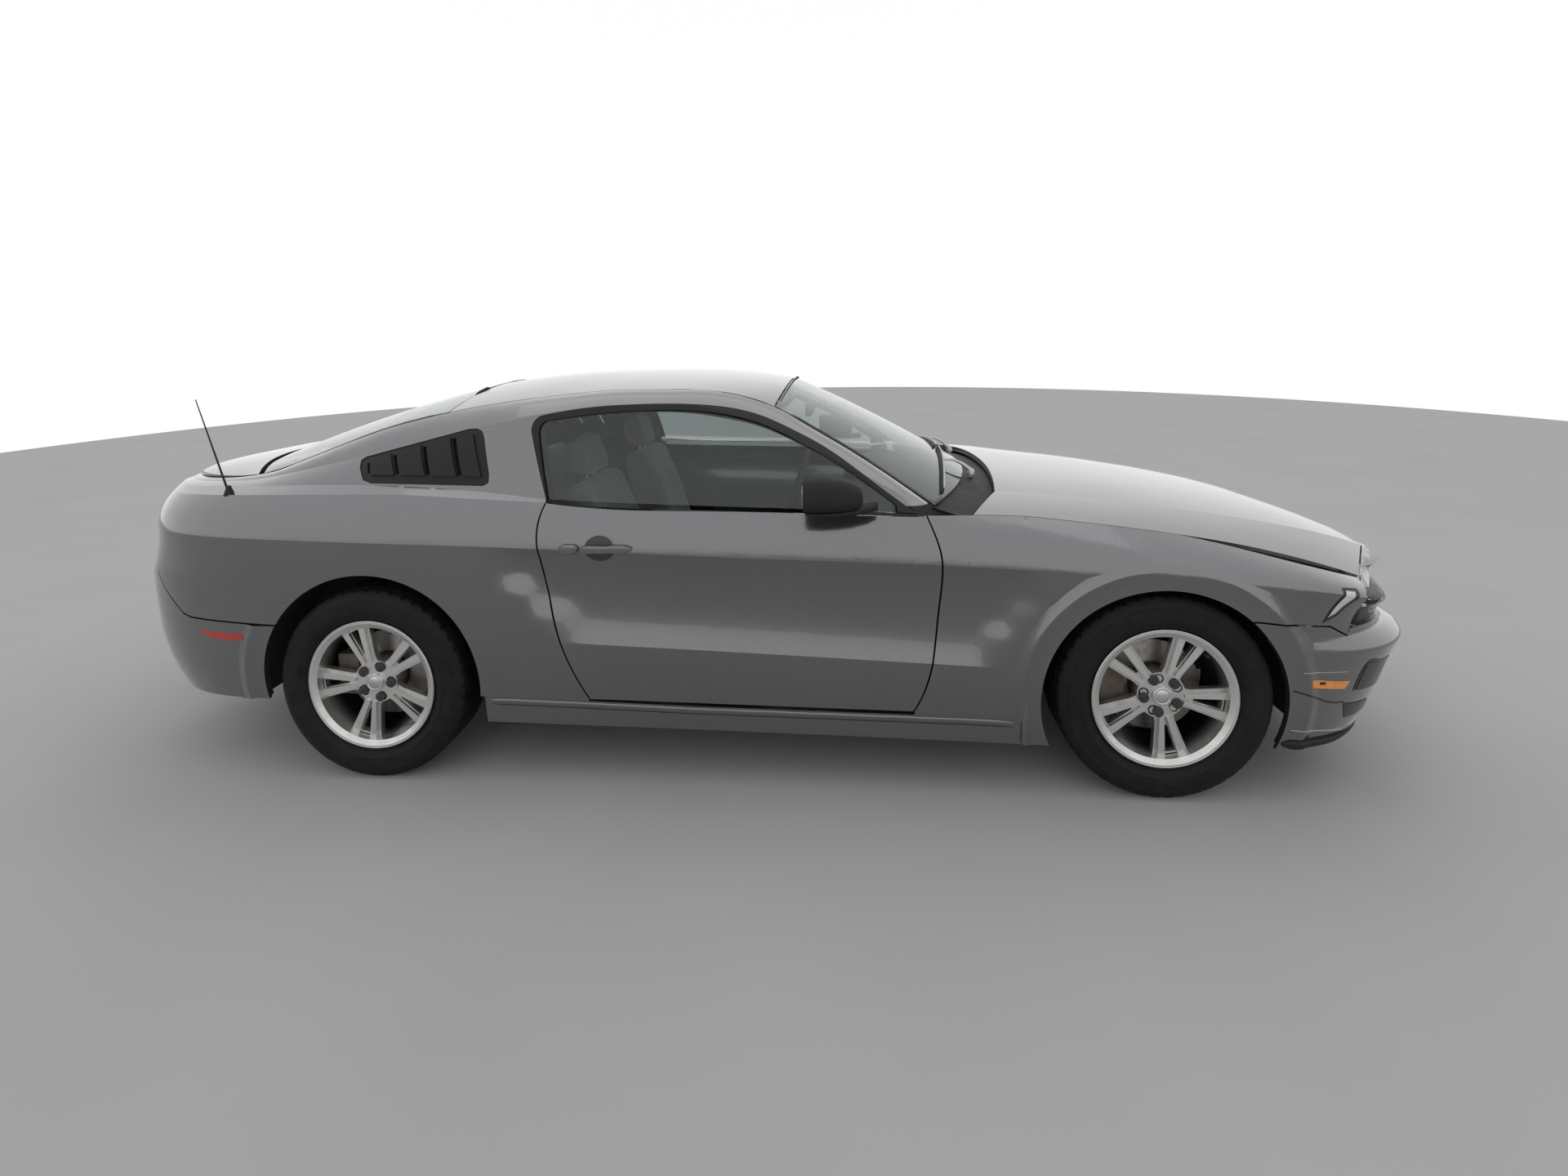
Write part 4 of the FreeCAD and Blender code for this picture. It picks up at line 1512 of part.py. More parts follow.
rear_seat_z = LUGGAGE_FLOOR_Z + REAR_SHEET + SEAT_GAP
rear_seat = prism_y(places(REAR_CUSHION_SHARES), -REAR_SEAT_HALF, REAR_SEAT_HALF)
rear_seat = rear_seat.fuse(prism_y(places(REAR_BACK_SHARES), -REAR_SEAT_HALF, REAR_SEAT_HALF))
rear_seat = rear_seat.cut(box(WELL_X, bulkhead_x + SHUT_GAP, -HALF_WIDTH, HALF_WIDTH, 0.0, rear_seat_z))
write("rear_seat", biggest(rear_seat))

# Dashboard with the steering column, and the steering wheel
DASH_SHARES = ((0.1838, 0.4533), (0.1671, 0.5099), (0.1754, 0.6020), (0.2089, 0.6409), (0.2924, 0.6480),
               (0.3258, 0.6374),
               (0.4010, 0.6232), (0.4010, 0.4533))
DASH_HALF = 725.0
WHEEL_PLACE_SHARES = (0.0639, 0.3942, 0.5722)
WHEEL_RIM_RADIUS = 172.0
WHEEL_TUBE = 15.0
WHEEL_SPOKE_RADIUS = 13.0
BOSS_RADIUS = 62.0
BOSS_LENGTH = 50.0
BOSS_LEAD = 15.0
COLUMN_RADIUS = 40.0
COLUMN_LENGTH = 420.0
COLUMN_TILT = math.radians(21)
dash = prism_y(places(DASH_SHARES), -DASH_HALF, DASH_HALF)
wheel_centre = V(WHEEL_PLACE_SHARES[0] * HALF_LENGTH, WHEEL_PLACE_SHARES[1] * HALF_WIDTH,
                 WHEEL_PLACE_SHARES[2] * HEIGHT)
axis = V(math.cos(COLUMN_TILT), 0, -math.sin(COLUMN_TILT))
across_axis = V(0, 1, 0)
RIM_SIDES = 8
tube_places = [polar(WHEEL_TUBE, 360 * (k + 0.5) / RIM_SIDES) for k in range(RIM_SIDES)]
steer_rim = revolved([(WHEEL_RIM_RADIUS + a, b) for a, b in tube_places])
steer_rim.rotate(V(0, 0, 0), V(0, 0, 1), -90)
steer_rim.rotate(V(0, 0, 0), V(0, 1, 0), math.degrees(COLUMN_TILT))
steering_parts = [moved(steer_rim, wheel_centre.x, wheel_centre.y, wheel_centre.z),
                  Part.makeCylinder(BOSS_RADIUS, BOSS_LENGTH, wheel_centre - axis * BOSS_LEAD, axis)]
for direction in (across_axis, across_axis * -1, across_axis.cross(axis)):
    steering_parts.append(Part.makeCylinder(WHEEL_SPOKE_RADIUS, WHEEL_RIM_RADIUS - WHEEL_TUBE / 2,
                                            wheel_centre + axis * SHUT_GAP, direction))
write("steering_wheel", fuse(steering_parts))
column = Part.makeCylinder(COLUMN_RADIUS, COLUMN_LENGTH,
                           wheel_centre + axis * (BOSS_LENGTH - BOSS_LEAD + SEAT_GAP), axis)
column = column.cut(box(FLOOR_FRONT_X, HALF_LENGTH, -HALF_WIDTH, HALF_WIDTH, 0.0, HEIGHT))
write("dashboard", dash.fuse(column))

# Door mirrors: sections as share of half length, inner and outer share of half width,
# low and high share of height
MIRROR_SHARES = ((0.1065, 0.9430, 1.0655, 0.6969, 0.7790), (0.1253, 0.9377, 1.0709, 0.6941, 0.7812),
                 (0.1587, 0.9377, 1.0570, 0.6955, 0.7734), (0.1880, 0.9483, 1.0282, 0.7025, 0.7507))
MIRROR_FOOT_SHARES = ((0.1671, 0.7082), (0.2089, 0.6976), (0.2151, 0.6409), (0.1754, 0.6409))
MIRROR_FOOT_WIDTH_SHARES = (0.9750, 0.9057)
MIRROR_POINTS = 8
mirror_sections = []
for x_share, y_in, y_out, z_low, z_high in MIRROR_SHARES:
    x = x_share * HALF_LENGTH
    middle = V(x, -(y_in + y_out) * HALF_WIDTH / 2, (z_low + z_high) * HEIGHT / 2)
    reach_y, reach_z = (y_out - y_in) * HALF_WIDTH / 2, (z_high - z_low) * HEIGHT / 2
    points = []
    for k in range(MIRROR_POINTS):
        a = 2 * math.pi * k / MIRROR_POINTS
        c, s = math.cos(a), math.sin(a)
        reach = (abs(c) ** 3 + abs(s) ** 3) ** (-1 / 3)
        points.append(middle + V(0, reach_y * c * reach, reach_z * s * reach))
    line = Part.BSplineCurve()
    line.interpolate(points, PeriodicFlag=True)
    mirror_sections.append(Part.Wire([line.toShape()]))
housing = Part.makeLoft(mirror_sections, True)
foot = prism_y(places(MIRROR_FOOT_SHARES), -MIRROR_FOOT_WIDTH_SHARES[0] * HALF_WIDTH,
               -MIRROR_FOOT_WIDTH_SHARES[1] * HALF_WIDTH)
door_mirror = housing.fuse(foot).cut(moved(door_shell, 0.0, -SEAT_GAP))
write_pair("door_mirror", biggest(door_mirror))

# Aerial on the left rear shoulder of the right side
AERIAL_FOOT_SHARES = (-0.7678, -0.8823, 0.7210)
AERIAL_TIP_SHARES = (-0.8103, -0.8823, 0.9681)
AERIAL_RADIUS = 4.0
AERIAL_TIP_RADIUS = 1.6
AERIAL_BASE_RADIUS = 18.0
AERIAL_BASE_HEIGHT = 34.0


def share_place(x, y, z):
    return V(x * HALF_LENGTH, y * HALF_WIDTH, z * HEIGHT)


aerial_foot = share_place(*AERIAL_FOOT_SHARES)
stem = share_place(*AERIAL_TIP_SHARES) - aerial_foot
aerial = Part.makeCone(AERIAL_RADIUS, AERIAL_TIP_RADIUS, stem.Length, aerial_foot, stem)
aerial = aerial.fuse(Part.makeCone(AERIAL_BASE_RADIUS, AERIAL_RADIUS * 1.5, AERIAL_BASE_HEIGHT, aerial_foot,
                                   V(0, 0, 1)))
aerial = aerial.cut(moved(largest, 0.0, 0.0, SEAT_GAP))
write("aerial", biggest(aerial))
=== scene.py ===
import json
import math

import bmesh
import bpy
from mathutils import Matrix, Vector
from mathutils.bvhtree import BVHTree


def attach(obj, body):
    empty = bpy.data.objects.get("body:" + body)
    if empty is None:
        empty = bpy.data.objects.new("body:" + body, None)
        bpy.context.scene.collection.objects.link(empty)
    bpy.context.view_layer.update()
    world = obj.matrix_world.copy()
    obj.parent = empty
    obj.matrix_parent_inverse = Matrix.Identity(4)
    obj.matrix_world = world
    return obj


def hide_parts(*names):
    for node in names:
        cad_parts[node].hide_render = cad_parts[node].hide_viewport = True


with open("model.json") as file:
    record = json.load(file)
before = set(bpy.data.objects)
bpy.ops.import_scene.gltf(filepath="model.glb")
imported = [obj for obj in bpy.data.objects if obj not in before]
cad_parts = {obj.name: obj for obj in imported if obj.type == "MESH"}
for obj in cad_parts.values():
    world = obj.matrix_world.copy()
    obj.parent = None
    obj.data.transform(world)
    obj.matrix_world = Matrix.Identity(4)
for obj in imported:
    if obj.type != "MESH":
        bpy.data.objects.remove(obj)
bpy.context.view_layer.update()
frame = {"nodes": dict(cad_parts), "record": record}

NODES = frame["nodes"]

# Where rays start: above the roof, and outside the car's right side
ABOVE_CAR = 1.6
OUTSIDE_RIGHT = -1.2
UP = Vector((0, 0, 1))
FORWARD = Vector((1, 0, 0))

# Camera, found from the wheels' places in the photograph: metres, radians, millimetres of lens and sensor,
# and a share of the frame's width
CAMERA_PLACE = Vector((0.381, -3.216, 1.5439))
CAMERA_YAW = -0.0793
CAMERA_PITCH = 0.0748
CAMERA_ROLL = -0.02
CAMERA_LENS = 16.35
CAMERA_SENSOR = 36.0
CAMERA_SHIFT_Y = -0.125

# Wheels
AXLE_FRONT = 1.423
AXLE_REAR = -1.297
TRACK_FRONT = 1.578
TRACK_REAR = 1.592
TYRE_RADIUS = 0.345


# Node helpers


def new_material(name, values=None):
    """Material with its node tree and shader; values are set on the shader."""
    material = bpy.data.materials.new(name)
    material.use_nodes = True
    shader = material.node_tree.nodes["Principled BSDF"]
    for key, value in (values or {}).items():
        shader.inputs[key].default_value = value
    return material, material.node_tree, shader


def add_node(tree, kind, values=None, **settings):
    node = tree.nodes.new(kind)
    for key, value in settings.items():
        setattr(node, key, value)
    for key, value in (values or {}).items():
        node.inputs[key].default_value = value
    return node


def own_place(tree):
    """The object's own coordinates, which on this part are metres in the car's frame."""
    return add_node(tree, "ShaderNodeTexCoord").outputs["Object"]


def along_axis(tree, source, axis):
    split = add_node(tree, "ShaderNodeSeparateXYZ")
    tree.links.new(source, split.inputs["Vector"])
    return split.outputs[axis]


def noise(tree, scale, detail=4.0, roughness=0.5):
    texture = add_node(tree, "ShaderNodeTexNoise", {"Scale": scale, "Detail": detail, "Roughness": roughness})
    tree.links.new(own_place(tree), texture.inputs["Vector"])
    return texture.outputs["Fac"]


def ramp(tree, source, stops):
    node = add_node(tree, "ShaderNodeValToRGB")
    tree.links.new(source, node.inputs["Fac"])
    elements = node.color_ramp.elements
    while len(elements) < len(stops):
        elements.new(0.5)
    for element, (place, colour) in zip(elements, stops):
        element.position = place
        element.color = (*colour, 1.0)
    return node.outputs["Color"]


def span(tree, source, low, high, start=0.3, end=0.7):
    values = {"From Min": start, "From Max": end, "To Min": low, "To Max": high}
    node = add_node(tree, "ShaderNodeMapRange", values)
    tree.links.new(source, node.inputs["Value"])
    return node.outputs["Result"]


def bump(tree, shader, source, strength, distance):
    node = add_node(tree, "ShaderNodeBump", {"Strength": strength, "Distance": distance})
    tree.links.new(source, node.inputs["Height"])
    tree.links.new(node.outputs["Normal"], shader.inputs["Normal"])


def mixed(tree, factor, a, b):
    """Colour a to colour b by factor; each is a socket or a colour."""
    node = add_node(tree, "ShaderNodeMix", data_type="RGBA")
    tree.links.new(factor, node.inputs["Factor"])
    for key, value in (("A", a), ("B", b)):
        socket = [s for s in node.inputs if s.name == key and s.type == "RGBA"][0]
        if isinstance(value, tuple):
            socket.default_value = (*value, 1.0)
        else:
            tree.links.new(value, socket)
    return [s for s in node.outputs if s.type == "RGBA"][0]


def two_tones(tree, shader, tone, first, second, rough, rougher):
    """Colour and roughness that change together with a noise."""
    tree.links.new(ramp(tree, tone, ((0.3, first), (0.7, second))), shader.inputs["Base Color"])
    tree.links.new(span(tree, tone, rough, rougher), shader.inputs["Roughness"])


def brighter(colour, factor):
    return tuple(min(c * factor, 1.0) for c in colour)


# Mesh helpers: a part is a pair of lists, places and faces


def angles(count):
    """Angles spaced evenly round a full turn."""
    return [2 * math.pi * k / count for k in range(count)]


def joined(parts):
    places, faces = [], []
    for part_places, part_faces in parts:
        start = len(places)
        places += part_places
        faces += [tuple(i + start for i in face) for face in part_faces]
    return places, faces


def loft(rings, closed=True, caps=True):
    """Skin through rings of the same number of places."""
    count = len(rings[0])
    places = [Vector(p) for ring in rings for p in ring]
    faces = []
    last = count if closed else count - 1
    for i in range(len(rings) - 1):
        for j in range(last):
            a, b = i * count + j, i * count + (j + 1) % count
            faces.append((a, b, b + count, a + count))
    if caps:
        faces.append(tuple(reversed(range(count))))
        faces.append(tuple(range(len(places) - count, len(places))))
    return places, faces


def revolved(profile, count):
    """Body of revolution about Y from (radius, y) places."""
    places = [Vector((r * math.cos(a), y, r * math.sin(a))) for a in angles(count) for r, y in profile]
    faces = []
    n = len(profile)
    for i in range(count):
        nxt = (i + 1) % count
        for j in range(n - 1):
            faces.append((i * n + j, nxt * n + j, nxt * n + j + 1, i * n + j + 1))
    return places, faces


def tube(path, radius, sides=10, squash=1.0):
    """Rod along a path; radius is one number or one for each place."""
    path = [Vector(p) for p in path]
    rings = []
    side = (path[1] - path[0]).normalized().orthogonal().normalized()
    for i, place in enumerate(path):
        way = (path[min(i + 1, len(path) - 1)] - path[max(i - 1, 0)]).normalized()
        side = (side - way * side.dot(way)).normalized()
        up = way.cross(side)
        r = radius[i] if isinstance(radius, (list, tuple)) else radius
        rings.append([place + (side * math.cos(a) + up * math.sin(a) * squash) * r for a in angles(sides)])
    return loft(rings)


def rounded_block(size, radius):
    """Block round the origin with bevelled edges."""
    mesh = bmesh.new()
    bmesh.ops.create_cube(mesh, size=1.0)
    for vert in mesh.verts:
        vert.co = Vector(vert.co[i] * size[i] for i in range(3))
    bmesh.ops.bevel(mesh, geom=mesh.edges[:], offset=radius, segments=3, affect="EDGES", profile=0.5)
    mesh.verts.index_update()
    places = [v.co.copy() for v in mesh.verts]
    faces = [tuple(v.index for v in face.verts) for face in mesh.faces]
    mesh.free()
    return places, faces


def turned(part, matrix):
    return [matrix @ Vector(p) for p in part[0]], part[1]


def shifted(part, x, y, z):
    return turned(part, Matrix.Translation((x, y, z)))


def other_side(part):
    """Mirror copy on the other side of the car."""
    return [Vector((p.x, -p.y, p.z)) for p in part[0]], [tuple(reversed(face)) for face in part[1]]


def both_sides(part):
    return joined([part, other_side(part)])


def piece(name, part, material, body="root", replaces=(), crease=35.0):
    """Adds a mesh to the scene; it moves with the body and may stand for CAD nodes."""
    mesh = bpy.data.meshes.new(name)
    mesh.from_pydata([tuple(p) for p in part[0]], [], part[1])
    work = bmesh.new()
    work.from_mesh(mesh)
    bmesh.ops.remove_doubles(work, verts=work.verts, dist=1e-6)
    bmesh.ops.dissolve_degenerate(work, edges=work.edges, dist=1e-6)
    bmesh.ops.recalc_face_normals(work, faces=work.faces)
    work.to_mesh(mesh)
    work.free()
    mesh.materials.append(material)
    mesh.shade_smooth()
    mesh.set_sharp_from_angle(angle=math.radians(crease))
    thing = bpy.data.objects.new(name, mesh)
    bpy.context.collection.objects.link(thing)
    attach(thing, body)
    if replaces:
        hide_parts(*replaces)
    return thing


# Places on the body's skin


def skin_tree(*names):
    places, faces = [], []
    for name in names:
        node = NODES[name]
        start = len(places)
        places += [node.matrix_world @ v.co for v in node.data.vertices]
        faces += [tuple(start + i for i in face.vertices) for face in node.data.polygons]
    return BVHTree.FromPolygons(places, faces)


TREES = {}


def on_skin(names, origin, way):
    """Place and outward direction where a ray first meets the named nodes."""
    names = (names,) if isinstance(names, str) else tuple(names)
    if names not in TREES:
        TREES[names] = skin_tree(*names)
    place, normal, _, _ = TREES[names].ray_cast(Vector(origin), Vector(way))
    if place is None:
        return None, None
    return place, (normal if normal.dot(Vector(way)) < 0 else -normal)


def on_side(names, x, z):
    """Place and outward direction on the right-hand side at x and z."""
    return on_skin(names, (x, OUTSIDE_RIGHT, z), (0, 1, 0))


def on_top(names, x, y):
    """Place and outward direction met from above at x and y."""
    return on_skin(names, (x, y, ABOVE_CAR), (0, 0, -1))


def edge_scan(name, start, step, count=400):
    """Last place on the named node met from above, going from start by steps of (x, y)."""
    last = None
    for k in range(count):
        place, normal = on_top(name, start[0] + step[0] * k, start[1] + step[1] * k)
        if place is not None and normal.z > 0.15:
            last = (place, normal)
        elif last:
            break
    return last


def bead(hits, width, height, ends=0.6, sink=0.001):
    """Raised strip along (place, outward direction) pairs, smaller at its ends and sunk a little."""
    rings = []
    for i, (place, normal) in enumerate(hits):
        along = (hits[min(i + 1, len(hits) - 1)][0] - hits[max(i - 1, 0)][0]).normalized()
        across = along.cross(normal).normalized()
        end = ends if i in (0, len(hits) - 1) else 1.0
        w, h = width * end / 2, height * end
        rings.append([place + across * u * w + normal * v for u, v in
                      ((-1.0, -sink), (-1.0, h * 0.5), (-0.6, h * 0.95), (0.0, h), (0.6, h * 0.95),
                       (1.0, h * 0.5), (1.0, -sink))])
    return loft(rings)


def strip(found, width, height, ends=0.5):
    """Bead through those of the places found that met the skin."""
    return bead([hit for hit in found if hit[0] is not None], width, height, ends, 0.0015)


def curve_point(p0, p1, p2, p3, t):
    """Place at the share t between p1 and p2, on a smooth curve through four places."""
    return (p1 * 2 + (p2 - p0) * t + (p0 * 2 - p1 * 5 + p2 * 4 - p3) * t * t
            + (p1 * 3 - p0 - p2 * 3 + p3) * t ** 3) * 0.5


def smooth_path(points, count):
    """Places spaced evenly along a curve through the points."""
    points = [Vector((p[0], p[1], 0.0)) for p in points]
    lengths = [0.0]
    for a, b in zip(points, points[1:]):
        lengths.append(lengths[-1] + (b - a).length)
    out = []
    for k in range(count + 1):
        s = lengths[-1] * k / count
        i = max(j for j in range(len(points) - 1) if lengths[j] <= s + 1e-9)
        t = (s - lengths[i]) / (lengths[i + 1] - lengths[i])
        p0, p1, p2, p3 = points[max(i - 1, 0)], points[i], points[i + 1], points[min(i + 2, len(points) - 1)]
        p = curve_point(p0, p1, p2, p3, t)
        out.append((p.x, p.y))
    return out


# Materials


def car_paint():
    values = {"Metallic": 0.88, "Coat Weight": 1.0, "Coat Roughness": 0.045}
    material, tree, shader = new_material("paint", values)
    flake = noise(tree, 900.0, 2.0, 0.6)
    cloud = noise(tree, 2.2, 5.0)
    base = ramp(tree, flake, ((0.35, (0.125, 0.124, 0.128)), (0.65, (0.215, 0.213, 0.218))))
    dust = span(tree, along_axis(tree, own_place(tree), "Z"), 0.35, 0.0, 0.12, 0.5)
    patch = span(tree, cloud, 0.3, 1.0, 0.35, 0.7)
    amount = add_node(tree, "ShaderNodeMath", operation="MULTIPLY")
    tree.links.new(dust, amount.inputs[0])
    tree.links.new(patch, amount.inputs[1])
    colour = mixed(tree, amount.outputs[0], base, (0.2, 0.196, 0.19))
    tree.links.new(colour, shader.inputs["Base Color"])
    tree.links.new(span(tree, cloud, 0.19, 0.25), shader.inputs["Roughness"])
    bump(tree, shader, noise(tree, 7.0, 2.0), 0.02, 0.002)
    return material


def glass(name, tint, bend=1.45):
    material, tree, shader = new_material(name, {"Transmission Weight": 1.0, "IOR": bend})
    two_tones(tree, shader, noise(tree, 5.0, 6.0), tint, brighter(tint, 1.08), 0.004, 0.01)
    path = add_node(tree, "ShaderNodeLightPath")
    clear = add_node(tree, "ShaderNodeBsdfTransparent", {"Color": (*tint, 1.0)})
    either = add_node(tree, "ShaderNodeMath", operation="MAXIMUM")
    tree.links.new(path.outputs["Is Shadow Ray"], either.inputs[0])
    tree.links.new(path.outputs["Is Diffuse Ray"], either.inputs[1])
    blend = add_node(tree, "ShaderNodeMixShader")
    tree.links.new(either.outputs[0], blend.inputs["Fac"])
    tree.links.new(shader.outputs["BSDF"], blend.inputs[1])
    tree.links.new(clear.outputs["BSDF"], blend.inputs[2])
    tree.links.new(blend.outputs["Shader"], tree.nodes["Material Output"].inputs["Surface"])
    return material


def plastic(name, colour, roughness=0.5, grain=1800.0, depth=0.0002, wear=1.25):
    material, tree, shader = new_material(name)
    two_tones(tree, shader, noise(tree, 14.0, 6.0), colour, brighter(colour, wear), roughness,
              min(roughness + 0.12, 1.0))
    bump(tree, shader, noise(tree, grain, 2.0), 0.25, depth)
    return material


def rubber(name, colour, dust):
    material, tree, shader = new_material(name, {"Specular IOR Level": 0.22})
    tone = noise(tree, 24.0, 6.0, 0.6)
    tree.links.new(ramp(tree, tone, ((0.38, colour), (0.8, dust))), shader.inputs["Base Color"])
    tree.links.new(span(tree, tone, 0.55, 0.75), shader.inputs["Roughness"])
    bump(tree, shader, noise(tree, 700.0, 3.0), 0.3, 0.0003)
    return material


def metal(name, colour, roughness=0.3, metallic=1.0, dirt=(0.2, 0.17, 0.14), dirty=0.35, scale=30.0):
    material, tree, shader = new_material(name, {"Metallic": metallic})
    tone = noise(tree, scale, 6.0, 0.6)
    amount = span(tree, tone, 0.0, dirty, 0.42, 0.75)
    tree.links.new(mixed(tree, amount, colour, dirt), shader.inputs["Base Color"])
    tree.links.new(span(tree, tone, roughness, min(roughness + 0.25, 1.0)), shader.inputs["Roughness"])
    bump(tree, shader, noise(tree, 500.0, 3.0), 0.12, 0.0003)
    return material


def wheel_metal_with_depth_shade():
    """Machined and lacquered spokes over a barrel; painted shade darkens the metal with its depth behind the
    face.
    """
    material, tree, shader = new_material("wheel_metal", {"Metallic": 0.9})
    tone = noise(tree, 22.0, 6.0, 0.6)
    unshaded_metal = mixed(tree, span(tree, tone, 0.0, 0.22, 0.42, 0.75), (0.66, 0.655, 0.64), (0.3, 0.24, 0.18))
    side = add_node(tree, "ShaderNodeMath", operation="ABSOLUTE")
    tree.links.new(along_axis(tree, own_place(tree), "Y"), side.inputs[0])
    # painted shade: the colour turns near black with depth behind the wheel's face, standing for the shade in
    # the barrel and on the spokes' sides
    painted_depth_shade = span(tree, side.outputs[0], 0.94, 0.0, 0.795, 0.863)
    tree.links.new(mixed(tree, painted_depth_shade, unshaded_metal, (0.03, 0.028, 0.026)), shader.inputs["Base Color"])
    tree.links.new(span(tree, tone, 0.24, 0.46), shader.inputs["Roughness"])
    bump(tree, shader, noise(tree, 500.0, 3.0), 0.1, 0.0003)
    return material


def lamp_plastic(name, colour):
    material, tree, shader = new_material(name, {"Coat Weight": 0.8})
    two_tones(tree, shader, noise(tree, 40.0, 3.0), colour, brighter(colour, 1.3), 0.08, 0.16)
    ribs = add_node(tree, "ShaderNodeTexWave", {"Scale": 55.0})
    tree.links.new(own_place(tree), ribs.inputs["Vector"])
    bump(tree, shader, ribs.outputs["Fac"], 0.25, 0.0008)
    return material


def cloth(name, colour):
    material, tree, shader = new_material(name, {"Sheen Weight": 0.35})
    weave = add_node(tree, "ShaderNodeTexChecker", {"Scale": 420.0})
    tree.links.new(own_place(tree), weave.inputs["Vector"])
    two_tones(tree, shader, noise(tree, 9.0, 6.0), colour, brighter(colour, 1.25), 0.8, 0.95)
    bump(tree, shader, weave.outputs["Fac"], 0.12, 0.0002)
    return material


PAINT = car_paint()
GLASS = glass("window_glass", (0.6, 0.66, 0.64))
LAMP_GLASS = glass("lamp_glass", (0.93, 0.95, 0.95), bend=1.16)
TRIM = plastic("black_trim", (0.011, 0.011, 0.012), 0.52)
TRIM.node_tree.nodes["Principled BSDF"].inputs["Specular IOR Level"].default_value = 0.28
SOFT_BLACK = plastic("interior_black", (0.03, 0.029, 0.028), 0.72, 900.0, 0.0004)
TYRE_RUBBER = rubber("tyre_rubber", (0.0055, 0.0055, 0.006), (0.015, 0.015, 0.015))
WHEEL_METAL = wheel_metal_with_depth_shade()
CAST = metal("cast_metal", (0.17, 0.15, 0.135), 0.62, 0.6, (0.2, 0.11, 0.06), 0.7)
UNDERBODY = plastic("underbody", (0.012, 0.012, 0.012), 0.85, 400.0, 0.001, 1.9)
CHROME = metal("exhaust_metal", (0.66, 0.64, 0.61), 0.16, 1.0, (0.16, 0.12, 0.09), 0.3)
LAMP_RED = lamp_plastic("lamp_red", (0.34, 0.012, 0.012))
LAMP_AMBER = lamp_plastic("lamp_amber", (0.62, 0.22, 0.03))
SEAT_CLOTH = cloth("seat_cloth", (0.27, 0.265, 0.255))
BRIGHT_METAL = metal("bright_metal", (0.62, 0.62, 0.61), 0.22, 1.0, (0.22, 0.18, 0.14), 0.25, 60.0)
DISC_METAL = metal("disc_metal", (0.27, 0.26, 0.25), 0.34, 1.0, (0.22, 0.12, 0.07), 0.35, 40.0)
# near-black colour of the handle bowl: painted shade of the recess under the grip
BOWL_SHADE = plastic("bowl_shadow", (0.028, 0.028, 0.029), 0.3)
# gloss black for the inlets and roof seams; on the groove lines it is painted shade
GLOSS_BLACK_AND_GROOVE_SHADE = plastic("gloss_black", (0.012, 0.012, 0.013), 0.18)
LAMP_BRIGHT = lamp_plastic("lamp_bright", (0.4, 0.41, 0.42))
WIPER_METAL = metal("wiper_metal", (0.46, 0.46, 0.47), 0.34, 0.9, (0.2, 0.18, 0.16), 0.2, 60.0)
MIRROR_GLASS = metal("mirror_glass", (0.78, 0.8, 0.81), 0.03, 1.0, (0.6, 0.6, 0.6), 0.08)

BY_SLOT = {
    "paint": PAINT, "glass": GLASS, "black_trim": TRIM, "lamp_clear": LAMP_GLASS, "lamp_red": LAMP_RED,
    "lamp_amber": LAMP_AMBER, "wheel_metal": WHEEL_METAL, "tyre": TYRE_RUBBER, "cast_metal": CAST,
    "underbody": UNDERBODY, "exhaust_metal": CHROME, "seat_cloth": SEAT_CLOTH, "interior_plastic": SOFT_BLACK,
}
for part in frame["record"]["subparts"]:
    node = NODES[part["node"]]
    node.data.materials.clear()
    node.data.materials.append(BY_SLOT[part["material_slot"]])


# Tyres: tread with blocks and grooves, sidewalls with their rings
CROWN_RADIUS = 0.3445
TREAD_STEPS = 288
GROOVES = ((-0.062, 0.0045), (-0.024, 0.005), (0.024, 0.005), (0.062, 0.0045))
GROOVE_DEPTH = 0.0075
CUT_DEPTHS = {"shoulder": -0.0055, "block": -0.004, "rib": -0.003}
SIDE_PROFILE = (
    (0.2165, 0.0872), (0.235, 0.0875), (0.2385, 0.0935), (0.242, 0.0965), (0.245, 0.0958), (0.2475, 0.0985),
    (0.255, 0.103), (0.265, 0.1062), (0.266, 0.1072), (0.269, 0.1074), (0.27, 0.1066), (0.28, 0.1084),
    (0.295, 0.1088), (0.306, 0.108), (0.307, 0.1088), (0.3095, 0.1086), (0.3105, 0.107), (0.32, 0.1035),
    (0.329, 0.0985), (0.336, 0.0925))
WHEEL_PLACES = {
    "front_right": (AXLE_FRONT, -TRACK_FRONT / 2), "front_left": (AXLE_FRONT, TRACK_FRONT / 2),
    "rear_right": (AXLE_REAR, -TRACK_REAR / 2), "rear_left": (AXLE_REAR, TRACK_REAR / 2),
}


def tread_profile():
    """(radius, y, kind) places from the outer shoulder across to the inner one."""
    rows = [(0.3405, -0.0885, "shoulder"), (0.343, -0.082, "shoulder")]
    for centre, half in GROOVES:
        rows += [(CROWN_RADIUS, centre - half - 0.0004, "block"),
                 (CROWN_RADIUS - GROOVE_DEPTH, centre - half, "floor"),
                 (CROWN_RADIUS - GROOVE_DEPTH, centre + half, "floor"),
                 (CROWN_RADIUS, centre + half + 0.0004, "block")]
        if centre < 0.05:
            rows.append((0.3449, centre + 0.021, "rib"))
    return rows + [(0.343, 0.082, "shoulder"), (0.3405, 0.0885, "shoulder")]


